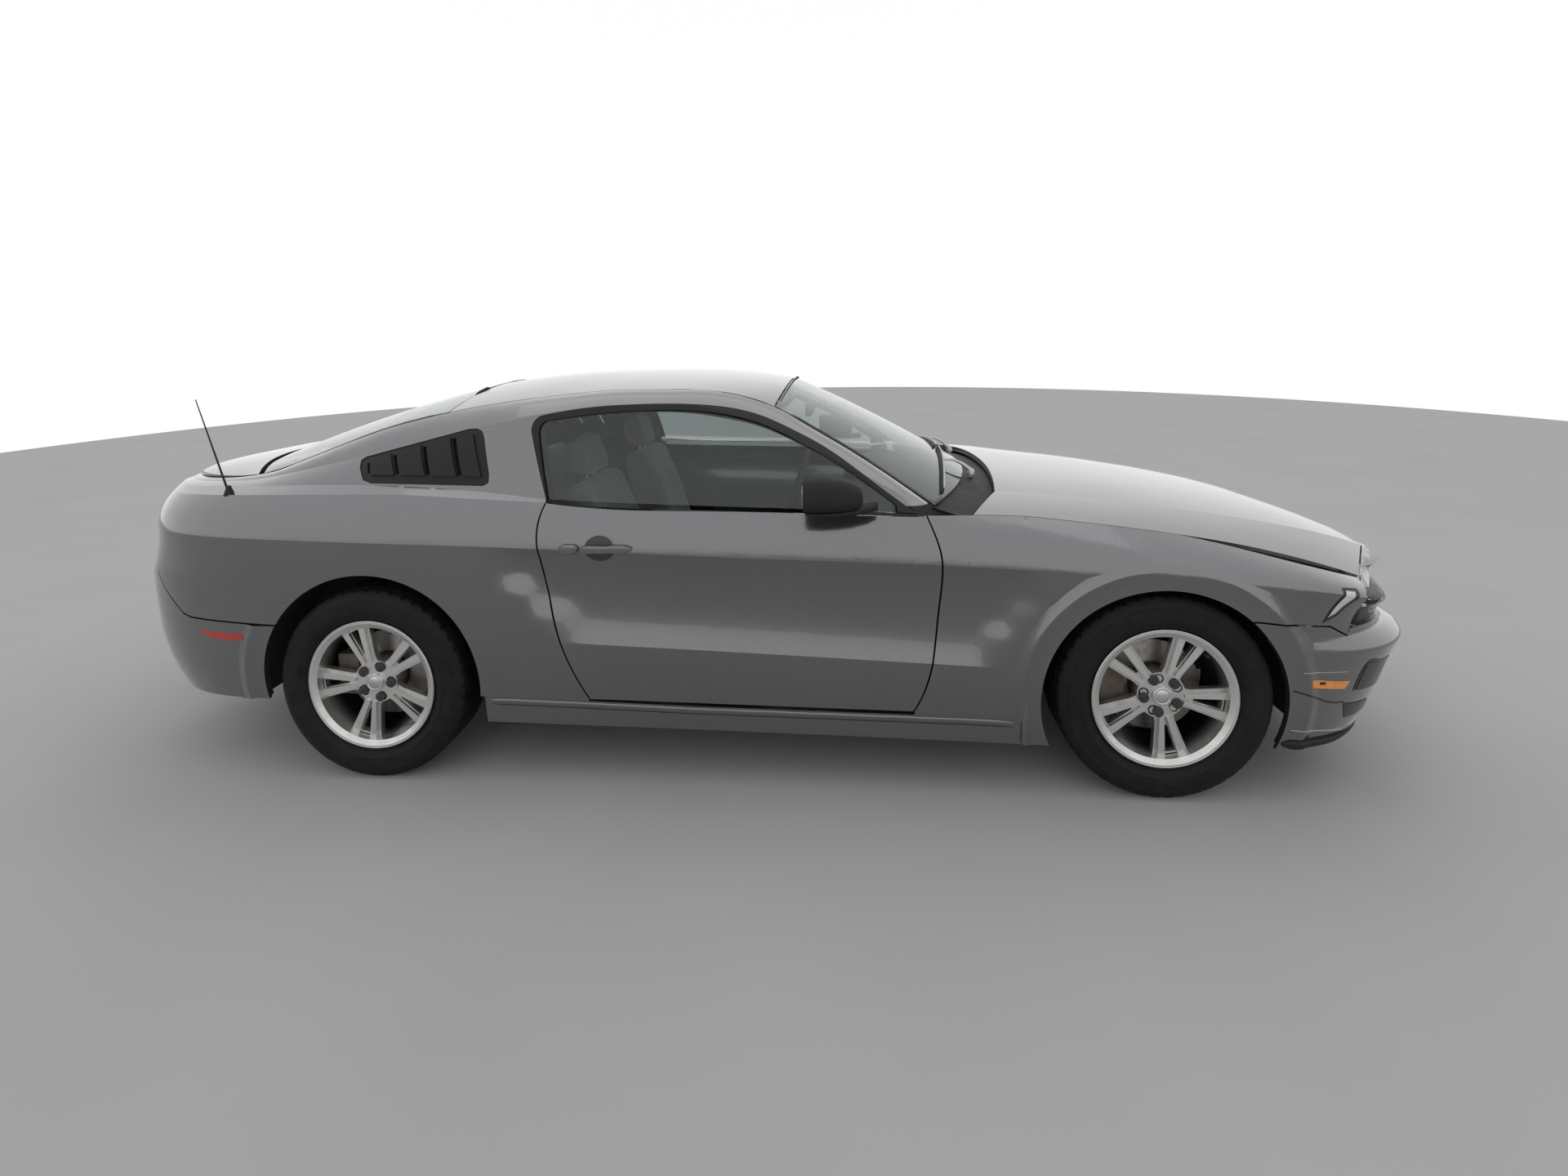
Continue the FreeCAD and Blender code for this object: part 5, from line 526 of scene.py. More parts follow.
def tyre_mesh():
    outer = [(r, -y, "wall") for r, y in SIDE_PROFILE]
    inner = [(r, y, "wall") for r, y in reversed(SIDE_PROFILE)]
    rows = outer + tread_profile() + inner
    places, faces = [], []
    for i, a in enumerate(angles(TREAD_STEPS)):
        for r, y, kind in rows:
            shift = 0
            cut = (i + (2 if -0.045 < y < 0 else 0)) % 6 == 0
            if cut and (kind != "rib" or i % 12 == 0):
                shift = CUT_DEPTHS.get(kind, 0)
            if kind == "wall" and 0.3195 < r < 0.33 and i % 6 < 3:
                y *= 0.99
            places.append(Vector(((r + shift) * math.cos(a), y, (r + shift) * math.sin(a))))
    n = len(rows)
    for i in range(TREAD_STEPS):
        k = (i + 1) % TREAD_STEPS
        for j in range(n):
            m = (j + 1) % n
            faces.append((i * n + j, k * n + j, k * n + m, i * n + m))
    return places, faces


BASE_TYRE = tyre_mesh()
for corner, (x, y) in WHEEL_PLACES.items():
    part = BASE_TYRE if y < 0 else other_side(BASE_TYRE)
    piece("tread_" + corner, shifted(part, x, y, TYRE_RADIUS), TYRE_RUBBER, "wheel_" + corner,
          ("tyre_" + corner,), 28.0)

# Wheel finish: nuts and their seats, which are dark discs of painted shade for the lug pockets, centre cap,
# rim lip, valve stem and brake disc face
LUG_CIRCLE = 0.05715
PHASES = {"front": math.radians(63.5), "rear": math.radians(39.0)}


def wheel_details(phase):
    dark = []
    for k in range(5):
        a = phase + 2 * math.pi * (k + 0.5) / 5
        x, z = LUG_CIRCLE * math.cos(a), LUG_CIRCLE * math.sin(a)
        nut = revolved([(0.0, -0.079), (0.0055, -0.0785), (0.0085, -0.0755), (0.0095, -0.071),
                        (0.0095, -0.058)], 6)
        dark.append(shifted(nut, x, 0.0, z))
        # dark disc round each nut: painted shade of the lug pocket
        seat = revolved([(0.0, -0.0748), (0.0148, -0.0748), (0.0166, -0.0743), (0.017, -0.07)], 24)
        dark.append(shifted(seat, x, 0.0, z))
    cap = revolved([(0.0, -0.08), (0.021, -0.08), (0.0225, -0.079), (0.0235, -0.079), (0.025, -0.0802),
                    (0.0278, -0.0802), (0.0302, -0.0785), (0.0309, -0.075), (0.0309, -0.069)], 48)
    lip = revolved([(0.228, -0.0985), (0.2295, -0.0998), (0.2322, -0.0998), (0.2338, -0.0985),
                    (0.2338, -0.096)], 96)
    a = phase + 2 * math.pi * 0.3
    stem = tube([(r * math.cos(a), y, r * math.sin(a))
                 for r, y in ((0.196, -0.079), (0.196, -0.06), (0.199, -0.045))],
                (0.0038, 0.0042, 0.0055), 10)
    return joined([cap, lip]), joined(dark + [stem])


def disc_rings():
    """Swept face of the brake disc, round its hat."""
    return revolved([(0.079, 0.0085), (0.088, 0.0085), (0.09, 0.0094), (0.155, 0.0094), (0.158, 0.0105)], 72)


for corner, (x, y) in WHEEL_PLACES.items():
    bright, dark = wheel_details(-PHASES[corner.split("_")[0]])
    ring = disc_rings()
    if y > 0:
        bright, dark, ring = other_side(bright), other_side(dark), other_side(ring)
    body = "wheel_" + corner
    piece("nuts_and_cap_" + corner, shifted(bright, x, y, TYRE_RADIUS), BRIGHT_METAL, body)
    piece("nut_seats_" + corner, shifted(dark, x, y, TYRE_RADIUS), SOFT_BLACK, body)
    piece("disc_face_" + corner, shifted(ring, x, y, TYRE_RADIUS), DISC_METAL, body)

# Door handles: a grip over an oval bowl, with a separate lock cover behind it; the bowl is a near-black sheet
# of painted shade
HANDLE_Z = 0.846
HANDLE_REAR = -0.58
HANDLE_SPLIT = -0.512
HANDLE_FRONT = -0.329
BOWL_X = -0.441
BOWL_HALF = (0.054, 0.046)


def bowl_oval(half_x, half_z, lift, count):
    """Oval round the bowl's centre on the door's skin, lifted off it."""
    ring = []
    for a in angles(count):
        place, normal = on_side("door_right", BOWL_X + half_x * math.cos(a), HANDLE_Z + half_z * math.sin(a))
        ring.append(place + normal * lift)
    return ring


def bowl_floor():
    return loft([bowl_oval(BOWL_HALF[0] * t, BOWL_HALF[1] * t, 0.0016 - 0.0008 * t, 40)
                 for t in (k / 8 for k in range(9))], caps=False)


def bowl_rim(width, height):
    """Thin raised rim round the bowl."""
    return loft([bowl_oval(BOWL_HALF[0] + width * u, BOWL_HALF[1] + width * u, height * v, 56)
                 for u, v in ((-0.5, -0.001), (-0.4, 0.8), (0.0, 1.0), (0.4, 0.8), (0.5, -0.001))],
                caps=False)


def grip(x0, x1, half_height, rise, blunt):
    rings = []
    count = 14
    for i in range(count + 1):
        t = i / count
        x = x0 + (x1 - x0) * t
        place, normal = on_side("door_right", x, HANDLE_Z)
        end = min(t, 1 - t) * 2
        shape = min(1.0, (end / blunt) ** 0.5) if end < blunt else 1.0
        h = half_height * (0.35 + 0.65 * shape)
        lift = rise * (0.45 + 0.55 * shape)
        rings.append([place + UP * h * c + normal * (lift * s + 0.0005) for c, s in
                      ((-1.0, 0.05), (-1.0, 0.55), (-0.75, 0.92), (0.0, 1.0), (0.75, 0.95), (1.0, 0.6),
                       (1.0, 0.05))])
    return loft(rings)


grip_part = joined([grip(HANDLE_REAR, HANDLE_SPLIT - 0.001, 0.0165, 0.02, 0.5),
                    grip(HANDLE_SPLIT + 0.001, HANDLE_FRONT, 0.015, 0.024, 0.35)])
bowl_part, rim_part = bowl_floor(), bowl_rim(0.006, 0.0028)
for side in ("right", "left"):
    for name, part, material in (("handle", grip_part, PAINT), ("handle_bowl", bowl_part, BOWL_SHADE),
                                 ("handle_rim", rim_part, PAINT)):
        piece(name + "_" + side, part if side == "right" else other_side(part), material, "door_" + side)


# Door mirrors: housing shell, glass face and foot
MIRROR_SECTIONS = (
    (0.256, 0.89, 0.995, 0.987, 1.093), (0.268, 0.884, 1.002, 0.983, 1.0985),
    (0.295, 0.881, 1.0045, 0.9815, 1.1015), (0.33, 0.881, 1.0, 0.982, 1.1),
    (0.37, 0.883, 0.99, 0.9835, 1.093), (0.41, 0.887, 0.975, 0.987, 1.08),
    (0.44, 0.893, 0.961, 0.993, 1.064), (0.449, 0.905, 0.948, 1.008, 1.045))
MIRROR_FOOT = (
    (0.262, 0.893, 0.985, 0.977, 0.99), (0.3, 0.88, 0.985, 0.97, 0.988), (0.36, 0.872, 0.97, 0.966, 0.988),
    (0.42, 0.866, 0.945, 0.964, 0.992), (0.47, 0.862, 0.915, 0.966, 0.998), (0.5, 0.86, 0.89, 0.972, 1.0))


def mirror_ring(x, y_in, y_out, low, high, power=3.2, count=28):
    """Ring like a rounded rectangle, across the car at x."""
    ring = []
    for a in angles(count):
        c, s = math.cos(a), math.sin(a)
        reach = (abs(c) ** power + abs(s) ** power) ** (-1 / power)
        ring.append(Vector((x, -(y_in + y_out) / 2 - (y_out - y_in) / 2 * c * reach,
                            (low + high) / 2 + (high - low) / 2 * s * reach)))
    return ring


def mirror_parts():
    shell = loft([mirror_ring(*row) for row in MIRROR_SECTIONS])
    _, y_in, y_out, low, high = MIRROR_SECTIONS[1]
    face = loft([mirror_ring(0.2565, y_in + 0.01, y_out - 0.01, low + 0.01, high - 0.01),
                 mirror_ring(0.2545, y_in + 0.012, y_out - 0.012, low + 0.012, high - 0.012)])
    foot = loft([mirror_ring(*row, 2.6, 20) for row in MIRROR_FOOT])
    return joined([shell, foot]), face


mirror_shell, mirror_face = mirror_parts()
for side in ("right", "left"):
    shell, face = mirror_shell, mirror_face
    if side == "left":
        shell, face = other_side(shell), other_side(face)
    piece("mirror_shell_" + side, shell, TRIM, "door_" + side, ("door_mirror_" + side,), 40.0)
    piece("mirror_face_" + side, face, MIRROR_GLASS, "door_" + side)


# Seats: crowned pads with rolled edges, side bolsters and sewn channels
HALF_LENGTH = 2.394
HEIGHT = 1.412
SEAT_Y = 0.385
SEAT_HALF = 0.2145
PAD_ROWS = 56
PAD_COUNT = 72
SEAT_RAILS = (
    ((0.4, 0.03, 0.04), 0.006, -0.2, -0.135, 0.262), ((0.4, 0.03, 0.04), 0.006, -0.2, 0.135, 0.262),
    ((0.36, 0.028, 0.055), 0.008, -0.2, -0.135, 0.31), ((0.36, 0.028, 0.055), 0.008, -0.2, 0.135, 0.31),
    ((0.11, 0.3, 0.022), 0.006, -0.3, 0.0, 0.322), ((0.05, 0.3, 0.018), 0.006, -0.1, 0.0, 0.325))


def closed_curve(points, count):
    """Places spaced evenly round a closed smooth curve through the points."""
    points = [Vector((p[0], p[1], 0.0)) for p in points]
    n = len(points)
    dense = []
    for i in range(n):
        p0, p1, p2, p3 = points[i - 1], points[i], points[(i + 1) % n], points[(i + 2) % n]
        for t in (k / 24 for k in range(24)):
            dense.append(curve_point(p0, p1, p2, p3, t))
    dense.append(dense[0].copy())
    lengths = [0.0]
    for a, b in zip(dense, dense[1:]):
        lengths.append(lengths[-1] + (b - a).length)
    out, j = [], 0
    for k in range(count):
        s = lengths[-1] * k / count
        while lengths[j + 1] < s:
            j += 1
        t = (s - lengths[j]) / max(lengths[j + 1] - lengths[j], 1e-9)
        out.append(dense[j].lerp(dense[j + 1], t))
    return out


def pad(outline, y0, y1, facing, roll=0.03, bolster=0.012, sink=0.01, seams=(-0.6, 0.6), channels=()):
    """Cushion from a side outline; facing is the direction (x, z) of its sitting face."""
    ring = closed_curve(outline, PAD_COUNT)
    middle = sum(ring, Vector()) / len(ring)
    face = Vector((facing[0], facing[1], 0.0)).normalized()
    along = Vector((-face.y, face.x, 0.0))
    reach = [(p - middle).dot(along) for p in ring]
    low, high = min(reach), max(reach)
    centre_y, half = (y0 + y1) / 2, (y1 - y0) / 2
    rings = []
    for i in range(PAD_ROWS + 1):
        v = math.sin(math.pi * (i / PAD_ROWS - 0.5))
        edge = max(0.0, 1 - (1 - abs(v)) * half / roll)
        inset = roll * (1 - math.sqrt(max(0.0, 1 - edge ** 2))) if edge > 0 else 0.0
        row = []
        for p, r in zip(ring, reach):
            normal = (p - middle).normalized()
            front = max(0.0, normal.dot(face))
            t = (r - low) / (high - low)
            lift = bolster * math.exp(-((abs(v) - 0.8) / 0.13) ** 2) - sink * math.exp(-(v / 0.5) ** 2)
            for seam in seams:
                lift -= 0.007 * math.exp(-((v - seam) / 0.022) ** 2)
            if abs(v) < 0.58:
                for channel in channels:
                    lift -= 0.006 * math.exp(-((t - channel) / 0.016) ** 2)
                    lift += 0.002 * math.exp(-((t - channel - 0.06) / 0.035) ** 2)
            corner = 0.012 * (1 - abs(2 * t - 1) ** 2) if abs(v) > 0.94 else 0.0
            q = p - normal * (inset + 0.003) + face * lift * min(1.0, front * 1.6) * (1 - edge)
            row.append(Vector((q.x, centre_y + v * (half - 0.002 - corner * 0.4), q.y)))
        rings.append(row)
    return loft(rings)


def share(points):
    """Places in metres from shares of the car's half length and height."""
    return [(x * HALF_LENGTH, z * HEIGHT) for x, z in points]


CUSHION = share(((-0.186, 0.24), (-0.08, 0.238), (0.02, 0.24), (0.034, 0.2691), (0.032, 0.308),
                 (0.018, 0.325), (-0.06, 0.315), (-0.15, 0.296), (-0.18, 0.285)))
BACKREST = share(((-0.169, 0.3), (-0.19, 0.44), (-0.212, 0.57), (-0.2319, 0.66), (-0.244, 0.698),
                  (-0.26, 0.708), (-0.278, 0.698), (-0.283, 0.66), (-0.256, 0.47), (-0.229, 0.29),
                  (-0.198, 0.26)))
HEADREST = share(((-0.2516, 0.725), (-0.259, 0.788), (-0.27, 0.82), (-0.288, 0.823), (-0.3, 0.79),
                  (-0.29, 0.728), (-0.27, 0.719)))
REAR_CUSHION = share(((-0.415, 0.402), (-0.364, 0.398), (-0.356, 0.348), (-0.299, 0.322), (-0.295, 0.415),
                      (-0.33, 0.433), (-0.397, 0.447)))
REAR_BACK = share(((-0.418, 0.408), (-0.382, 0.429), (-0.428, 0.568), (-0.471, 0.698), (-0.487, 0.704),
                   (-0.496, 0.69), (-0.464, 0.57)))
for side, y in (("right", -SEAT_Y), ("left", SEAT_Y)):
    low, high = y - SEAT_HALF, y + SEAT_HALF
    seat_parts = (
        ("cushion",
         pad(CUSHION, low, high, (0.12, 1.0), 0.034, 0.014, 0.012, channels=(0.22, 0.38, 0.54, 0.7)), 0.7),
        ("backrest", pad(BACKREST, low + 0.004, high - 0.004, (1.0, 0.25), 0.034, 0.016, 0.012,
                         channels=(0.24, 0.38, 0.52, 0.66, 0.8)), 0.7),
        ("headrest", pad(HEADREST, y - 0.117, y + 0.117, (1.0, 0.2), 0.03, 0.0, 0.004, seams=()), 0.8))
    for name, part, fill in seat_parts:
        thing = piece(name + "_" + side, part, SEAT_CLOTH, "root", ("front_seats",), 60.0)
    posts = [tube([(-0.648, y + post, 0.965), (-0.65, y + post, 1.0), (-0.652, y + post, 1.03)], 0.0065, 12)
             for post in (-0.045, 0.045)]
    piece("headrest_posts_" + side, joined(posts), BRIGHT_METAL, "root", ("front_seats",))
    rails = [shifted(rounded_block(size, radius), x, y + offset, z)
             for size, radius, x, offset, z in SEAT_RAILS]
    piece("seat_rails_" + side, joined(rails), SOFT_BLACK, "root", ("front_seats",))
for name, outline, facing, channels in (("rear_cushion", REAR_CUSHION, (0.15, 1.0), (0.3, 0.5, 0.7)),
                                        ("rear_back", REAR_BACK, (1.0, 0.35), (0.25, 0.42, 0.59, 0.76))):
    for side, low, high in (("right", -0.588, -0.006), ("left", 0.006, 0.588)):
        part = pad(outline, low, high, facing, 0.028, 0.01, 0.01, channels=channels)
        piece(name + "_" + side, part, SEAT_CLOTH, "root", ("rear_seat",), 60.0)

# Steering wheel: leather rim with thumb rests, three flat spokes and a soft boss
WHEEL_PLACE = Vector((0.153, 0.37, 0.808))
WHEEL_TILT = math.radians(21)
RIM_RADIUS = 0.172
RIM_STEPS = 96
RIM_SIDES = 14


def steering_parts():
    rim_rings = []
    for a in angles(RIM_STEPS):
        thumb = math.exp(-((abs((math.degrees(a) + 180) % 360 - 180) - 68) / 14) ** 2)
        tube_radius = 0.0132 + 0.0014 * thumb
        centre = Vector((0.0, math.sin(a), math.cos(a))) * RIM_RADIUS
        out = centre.normalized()
        rim_rings.append([centre + out * tube_radius * math.cos(b) + FORWARD * tube_radius * math.sin(b)
                          for b in angles(RIM_SIDES)])
    faces = []
    n = RIM_SIDES
    for i in range(RIM_STEPS):
        k = (i + 1) % RIM_STEPS
        for j in range(n):
            m = (j + 1) % n
            faces.append((i * n + j, i * n + m, k * n + m, k * n + j))
    rim = ([p for ring in rim_rings for p in ring], faces)
    spokes = []
    for angle in (90, -90, 180):
        a = math.radians(angle)
        way = Vector((0.0, math.sin(a), math.cos(a)))
        side = FORWARD.cross(way)
        rings = []
        for t, width, thick, lead in ((0.05, 0.026, 0.011, 0.01), (0.085, 0.021, 0.009, 0.009),
                                      (0.125, 0.017, 0.008, 0.004), (0.168, 0.02, 0.009, 0.0)):
            middle = way * t + Vector((lead - 0.004, 0, 0))
            rings.append([middle + side * width * math.cos(b) + FORWARD * thick * math.sin(b)
                          for b in angles(16)])
        spokes.append(loft(rings))
    boss = []
    for x, r in ((-0.013, 0.02), (-0.012, 0.042), (-0.006, 0.055), (0.004, 0.0605), (0.02, 0.0605),
                 (0.034, 0.056)):
        boss.append([Vector((x, r * math.sin(a), r * math.cos(a) * 0.97)) for a in angles(40)])
    return rim, joined(spokes), loft(boss)


placed = Matrix.Translation(WHEEL_PLACE) @ Matrix.Rotation(WHEEL_TILT, 4, "Y")
steer_rim, steer_spokes, steer_boss = steering_parts()
for name, part, material in (("steering_rim", steer_rim, SOFT_BLACK),
                             ("steering_spokes", steer_spokes, BRIGHT_METAL),
                             ("steering_boss", steer_boss, SOFT_BLACK)):
    piece(name, turned(part, placed), material, "steering_wheel", ("steering_wheel",))

# Dashboard: instrument hood, vents on the dash face, centre stack with its knobs
VENT_Z = 0.8
QUARTER_TURN = math.radians(-90)
hood_rings = []
for x, half, rise in ((0.4, 0.15, 0.012), (0.455, 0.16, 0.034), (0.52, 0.165, 0.046), (0.6, 0.16, 0.03),
                      (0.68, 0.15, 0.004)):
    hood_rings.append([Vector((x, 0.37 + half * math.cos(a), 0.885 + (rise + 0.022) * max(math.sin(a), -0.6)))
                       for a in angles(28)])
piece("instrument_hood", loft(hood_rings), SOFT_BLACK)
vents = []
for y in (-0.64, -0.075, 0.075, 0.64):
    ring = revolved([(0.03, -0.004), (0.033, -0.009), (0.037, -0.009), (0.04, -0.002), (0.04, 0.012),
                     (0.03, 0.012)], 28)
    vents.append(turned(ring, Matrix.Translation((0.41, y, VENT_Z)) @ Matrix.Rotation(QUARTER_TURN, 4, "Z")))
    for k in (-1, 0, 1):
        vents.append(shifted(rounded_block((0.01, 0.056, 0.003), 0.001), 0.411, y, VENT_Z + k * 0.014))
piece("dash_vents", joined(vents), TRIM)
stack = [shifted(rounded_block((0.02, 0.23, 0.085), 0.006), 0.404, 0.0, 0.705)]
for y in (-0.075, 0.0, 0.075):
    knob = revolved([(0.0, -0.018), (0.014, -0.018), (0.0165, -0.015), (0.018, 0.0), (0.018, 0.004)], 24)
    stack.append(turned(knob, Matrix.Translation((0.392, y, 0.695)) @ Matrix.Rotation(QUARTER_TURN, 4, "Z")))
piece("centre_stack", joined(stack), SOFT_BLACK)

# Mirror inside the cabin, on its stalk
mirror_rings = []
for x, half, tall in ((0.232, 0.104, 0.02), (0.226, 0.116, 0.029), (0.236, 0.12, 0.032), (0.252, 0.11, 0.026),
                      (0.262, 0.07, 0.014)):
    mirror_rings.append([Vector((x, half * math.copysign(abs(math.cos(a)) ** 0.6, math.cos(a)),
                                 1.225 + tall * math.copysign(abs(math.sin(a)) ** 0.6, math.sin(a))))
                         for a in angles(32)])
stalk = tube([(0.255, 0.0, 1.23), (0.285, 0.0, 1.25), (0.312, 0.0, 1.262)], (0.009, 0.008, 0.012), 12)
piece("cabin_mirror", joined([loft(mirror_rings), stalk]), TRIM)


# Front corner: lamp panel with its slim lens and round lamps, inlets, ridges, chin lip and intake screen, and
# a near-black line of painted shade along a bumper groove
NOSE_NAMES = ("front_bumper", "nose_panel", "headlamps", "fender_right", "hood")
ROUND_CENTRE = Vector((1.55, 0.0, 0.0))
ROUND_REACH = 2.2
NUDGES = ((0.0, 0.0), (0.0, 0.005), (0.0, -0.005), (1.0, 0.0), (-1.0, 0.0), (0.0, 0.01), (0.0, -0.01),
          (2.0, 0.0), (-2.0, 0.0))


def around(names, bearing, z):
    """Place met from outside at a bearing round the centre; 0 looks at the nose, 90 at the right side."""
    a = math.radians(bearing)
    way = Vector((math.cos(a), -math.sin(a), 0.0))
    return on_skin(names, ROUND_CENTRE + UP * z + way * ROUND_REACH, -way)


def grid_patch(names, corners, nu=12, nv=8, lift=0.0015, shape=None):
    """Patch on the skin between four (bearing, height) corners: low start, low end, high end, high start."""
    rows = []
    for i in range(nu + 1):
        u = i / nu
        row = []
        for j in range(nv + 1):
            v = j / nv
            low = Vector((*corners[0], 0)).lerp(Vector((*corners[1], 0)), u)
            high = Vector((*corners[3], 0)).lerp(Vector((*corners[2], 0)), u)
            spot = low.lerp(high, v)
            for turn, drop in NUDGES:
                place, normal = around(names, spot.x + turn, spot.y + drop)
                if place is not None:
                    break
            row.append(place + normal * (lift + (shape(u, v) if shape else 0.0)))
        rows.append(row)
    return loft(rows, closed=False, caps=False)


def curve_on(names, path, width, height, count=24):
    """Bead laid on the skin along (bearing, height) places."""
    return strip([around(names, bearing, z) for bearing, z in smooth_path(path, count)], width, height, 0.4)


def corner_pieces():
    paint = [curve_on("front_bumper", [(74.0, 0.252), (68.0, 0.24), (62.5, 0.226), (56.0, 0.218),
                                       (48.0, 0.214)], 0.012, 0.005)]
    dark = [grid_patch("front_bumper", [(60.2, 0.368), (50.0, 0.35), (50.0, 0.45), (58.4, 0.462)]),
            grid_patch("front_bumper", [(61.2, 0.27), (52.0, 0.262), (53.0, 0.304), (62.6, 0.328)]),
            # thin near-black bead along the bumper's groove: painted shade in the groove
            curve_on("front_bumper", [(74.4, 0.393), (70.9, 0.374), (66.2, 0.342), (62.4, 0.333)],
                     0.006, 0.001),
            curve_on("front_bumper", [(60.8, 0.366), (58.6, 0.464), (54.0, 0.456), (50.2, 0.452)],
                     0.008, 0.002),
            grid_patch("headlamps", [(59.5, 0.59), (37.0, 0.59), (37.0, 0.696), (59.5, 0.696)],
                       20, 8, -0.0135),
            grid_patch(NOSE_NAMES, [(69.3, 0.612), (66.6, 0.634), (63.4, 0.722), (66.6, 0.729)],
                       10, 14, 0.0012),
            grid_patch("front_markers", [(69.1, 0.4085), (67.9, 0.4075), (67.9, 0.4165), (69.1, 0.4175)],
                       3, 3, 0.0008)]
    lens = [grid_patch(NOSE_NAMES, [(68.5, 0.632), (67.1, 0.646), (64.6, 0.716), (66.4, 0.721)],
                       10, 14, 0.0026,
                       shape=lambda u, v: 0.003 * math.sin(math.pi * u) * math.sin(math.pi * v))]
    ridge = [curve_on("front_bumper", [(73.0, 0.452), (68.0, 0.446), (63.0, 0.44)], 0.01, 0.003)]
    return joined(paint + ridge), joined(dark), joined(lens)


corner_paint, corner_dark, corner_lens = corner_pieces()
piece("corner_ridges", both_sides(corner_paint), PAINT)
piece("corner_inlets", both_sides(corner_dark), GLOSS_BLACK_AND_GROOVE_SHADE)
piece("lamp_slivers", both_sides(corner_lens), LAMP_BRIGHT)

LAMP_REACH = 0.74
LAMP_ROUNDS = ((45.5, 0.643, 0.041), (55.0, 0.641, 0.032))


def lamp_round(bearing, z, radius, inner, outer, lift):
    """Round ring or dome that lies behind the lamp's lens and follows it."""
    rows = []
    for k in range(5):
        t = radius * (inner + (outer - inner) * k / 4)
        row = []
        for a in angles(40):
            place, normal = around("headlamps", bearing + math.degrees(t * math.cos(a) / LAMP_REACH),
                                   z + t * math.sin(a))
            row.append(place + normal * (lift + 0.002 * math.sin(math.pi * k / 4)))
        rows.append(row)
    return loft(rows, caps=False)


rounds = []
for bearing, z, radius in LAMP_ROUNDS:
    rounds.append(lamp_round(bearing, z, radius, 0.84, 1.0, -0.01))
    rounds.append(lamp_round(bearing, z, radius, 0.02, 0.66, -0.0095))
piece("lamp_rounds", both_sides(joined(rounds)), BRIGHT_METAL)

chin_path = [(76.0, 0.205), (70.0, 0.199), (60.0, 0.194), (45.0, 0.192), (30.0, 0.191), (15.0, 0.19),
             (0.0, 0.19)]
chin_path += [(-a, z) for a, z in reversed(chin_path[:-1])]
piece("chin_lip", curve_on("front_bumper", chin_path, 0.028, 0.012, 96), TRIM)


def mesh_screen(x_at, y_half, z_low, z_high, pitch, wire):
    """Expanded-metal screen of crossing wires, bowed like the nose."""
    wires = []
    reach = z_high - z_low
    count = int((2 * y_half + reach) / pitch)
    for lean in (1, -1):
        for k in range(count + 1):
            start = -y_half - (reach if lean > 0 else 0.0) + k * pitch
            path = [(start + reach * (t if lean > 0 else 1 - t), z_low + reach * t)
                    for t in (i / 6 for i in range(7))]
            path = [(x_at(y), y, z) for y, z in path if -y_half <= y <= y_half]
            if len(path) > 1:
                wires.append(tube(path, wire, 5))
    return joined(wires)


def nose_x(z):
    """Function of y that gives the nose's x at a height."""
    step, last = 0.05, 12
    places = {}
    for k in range(-last, last + 1):
        places[k] = on_skin(("front_bumper", "nose_panel"), (3.2, step * k, z), -FORWARD)[0].x

    def at(y):
        k = min(max(y / step, -last), last - 0.001)
        low = math.floor(k)
        return places[low] + (places[low + 1] - places[low]) * (k - low)

    return at


INTAKE_HALF = 0.468
INTAKE_LOW = 0.214
INTAKE_HIGH = 0.33
lower_nose = nose_x(0.345)
piece("intake_screen",
      mesh_screen(lambda y: lower_nose(y) - 0.045, INTAKE_HALF, INTAKE_LOW, INTAKE_HIGH, 0.022, 0.0016), TRIM)
piece("intake_back",
      loft([[Vector((lower_nose(y) - 0.075, y, z)) for y in (-INTAKE_HALF, -0.25, 0.0, 0.25, INTAKE_HALF)]
            for z in (INTAKE_LOW, 0.272, INTAKE_HIGH)], closed=False, caps=False), UNDERBODY)

# Sill bands, groove lines of painted shade and mud tabs
SILL_BAND_DROP = 0.014


def sill_line(drop):
    """Places on the sill at a drop below its upper edge."""
    line = []
    heights = [0.36 - 0.001 * step for step in range(120)]
    for k in range(41):
        x = -0.855 + 0.0448 * k
        top = next((z for z in heights if on_side("sills", x, z)[0] is not None), None)
        if top is not None:
            line.append(on_side("sills", x, top - drop))
    return line


piece("sill_bands", both_sides(strip(sill_line(SILL_BAND_DROP), 0.019, 0.0045)), PAINT)
# near-black bead below each band: painted shade of the groove there
piece("sill_grooves", both_sides(strip(sill_line(SILL_BAND_DROP + 0.013), 0.0035, 0.001)), GLOSS_BLACK_AND_GROOVE_SHADE)
mud_tab = shifted(rounded_block((0.022, 0.014, 0.17), 0.004), 0.973, -0.898, 0.272)
piece("sill_tabs", both_sides(mud_tab), PAINT)


# Window surrounds, found where each pane ends
SURROUND_INWARD = 0.007


def pane_surround(name, xs, top_x, y_reach):
    """Beads along a pane's sides and top; top_x is where the search for the top starts, and its step."""
    side = [edge_scan(name, (x, -0.3), (0.0, -0.002)) for x in xs]
    side = [(hit[0] + Vector((0.0, SURROUND_INWARD, 0.0)), hit[1]) for hit in side if hit]
    top = [edge_scan(name, (top_x[0], y_reach * k / 12), (top_x[1], 0.0)) for k in range(-12, 13)]
    top = [(hit[0] - FORWARD * math.copysign(SURROUND_INWARD, top_x[1]), hit[1]) for hit in top if hit]
    return joined([both_sides(bead(side, 0.016, 0.0022)), bead(top, 0.02, 0.0022)])


piece("windscreen_surround",
      pane_surround("windshield", [0.2 + 0.03 * k for k in range(19)], (0.45, -0.002), 0.54), TRIM)
piece("rear_window_surround",
      pane_surround("rear_window", [-1.7 + 0.04 * k for k in range(19)], (-1.2, 0.002), 0.4), TRIM)

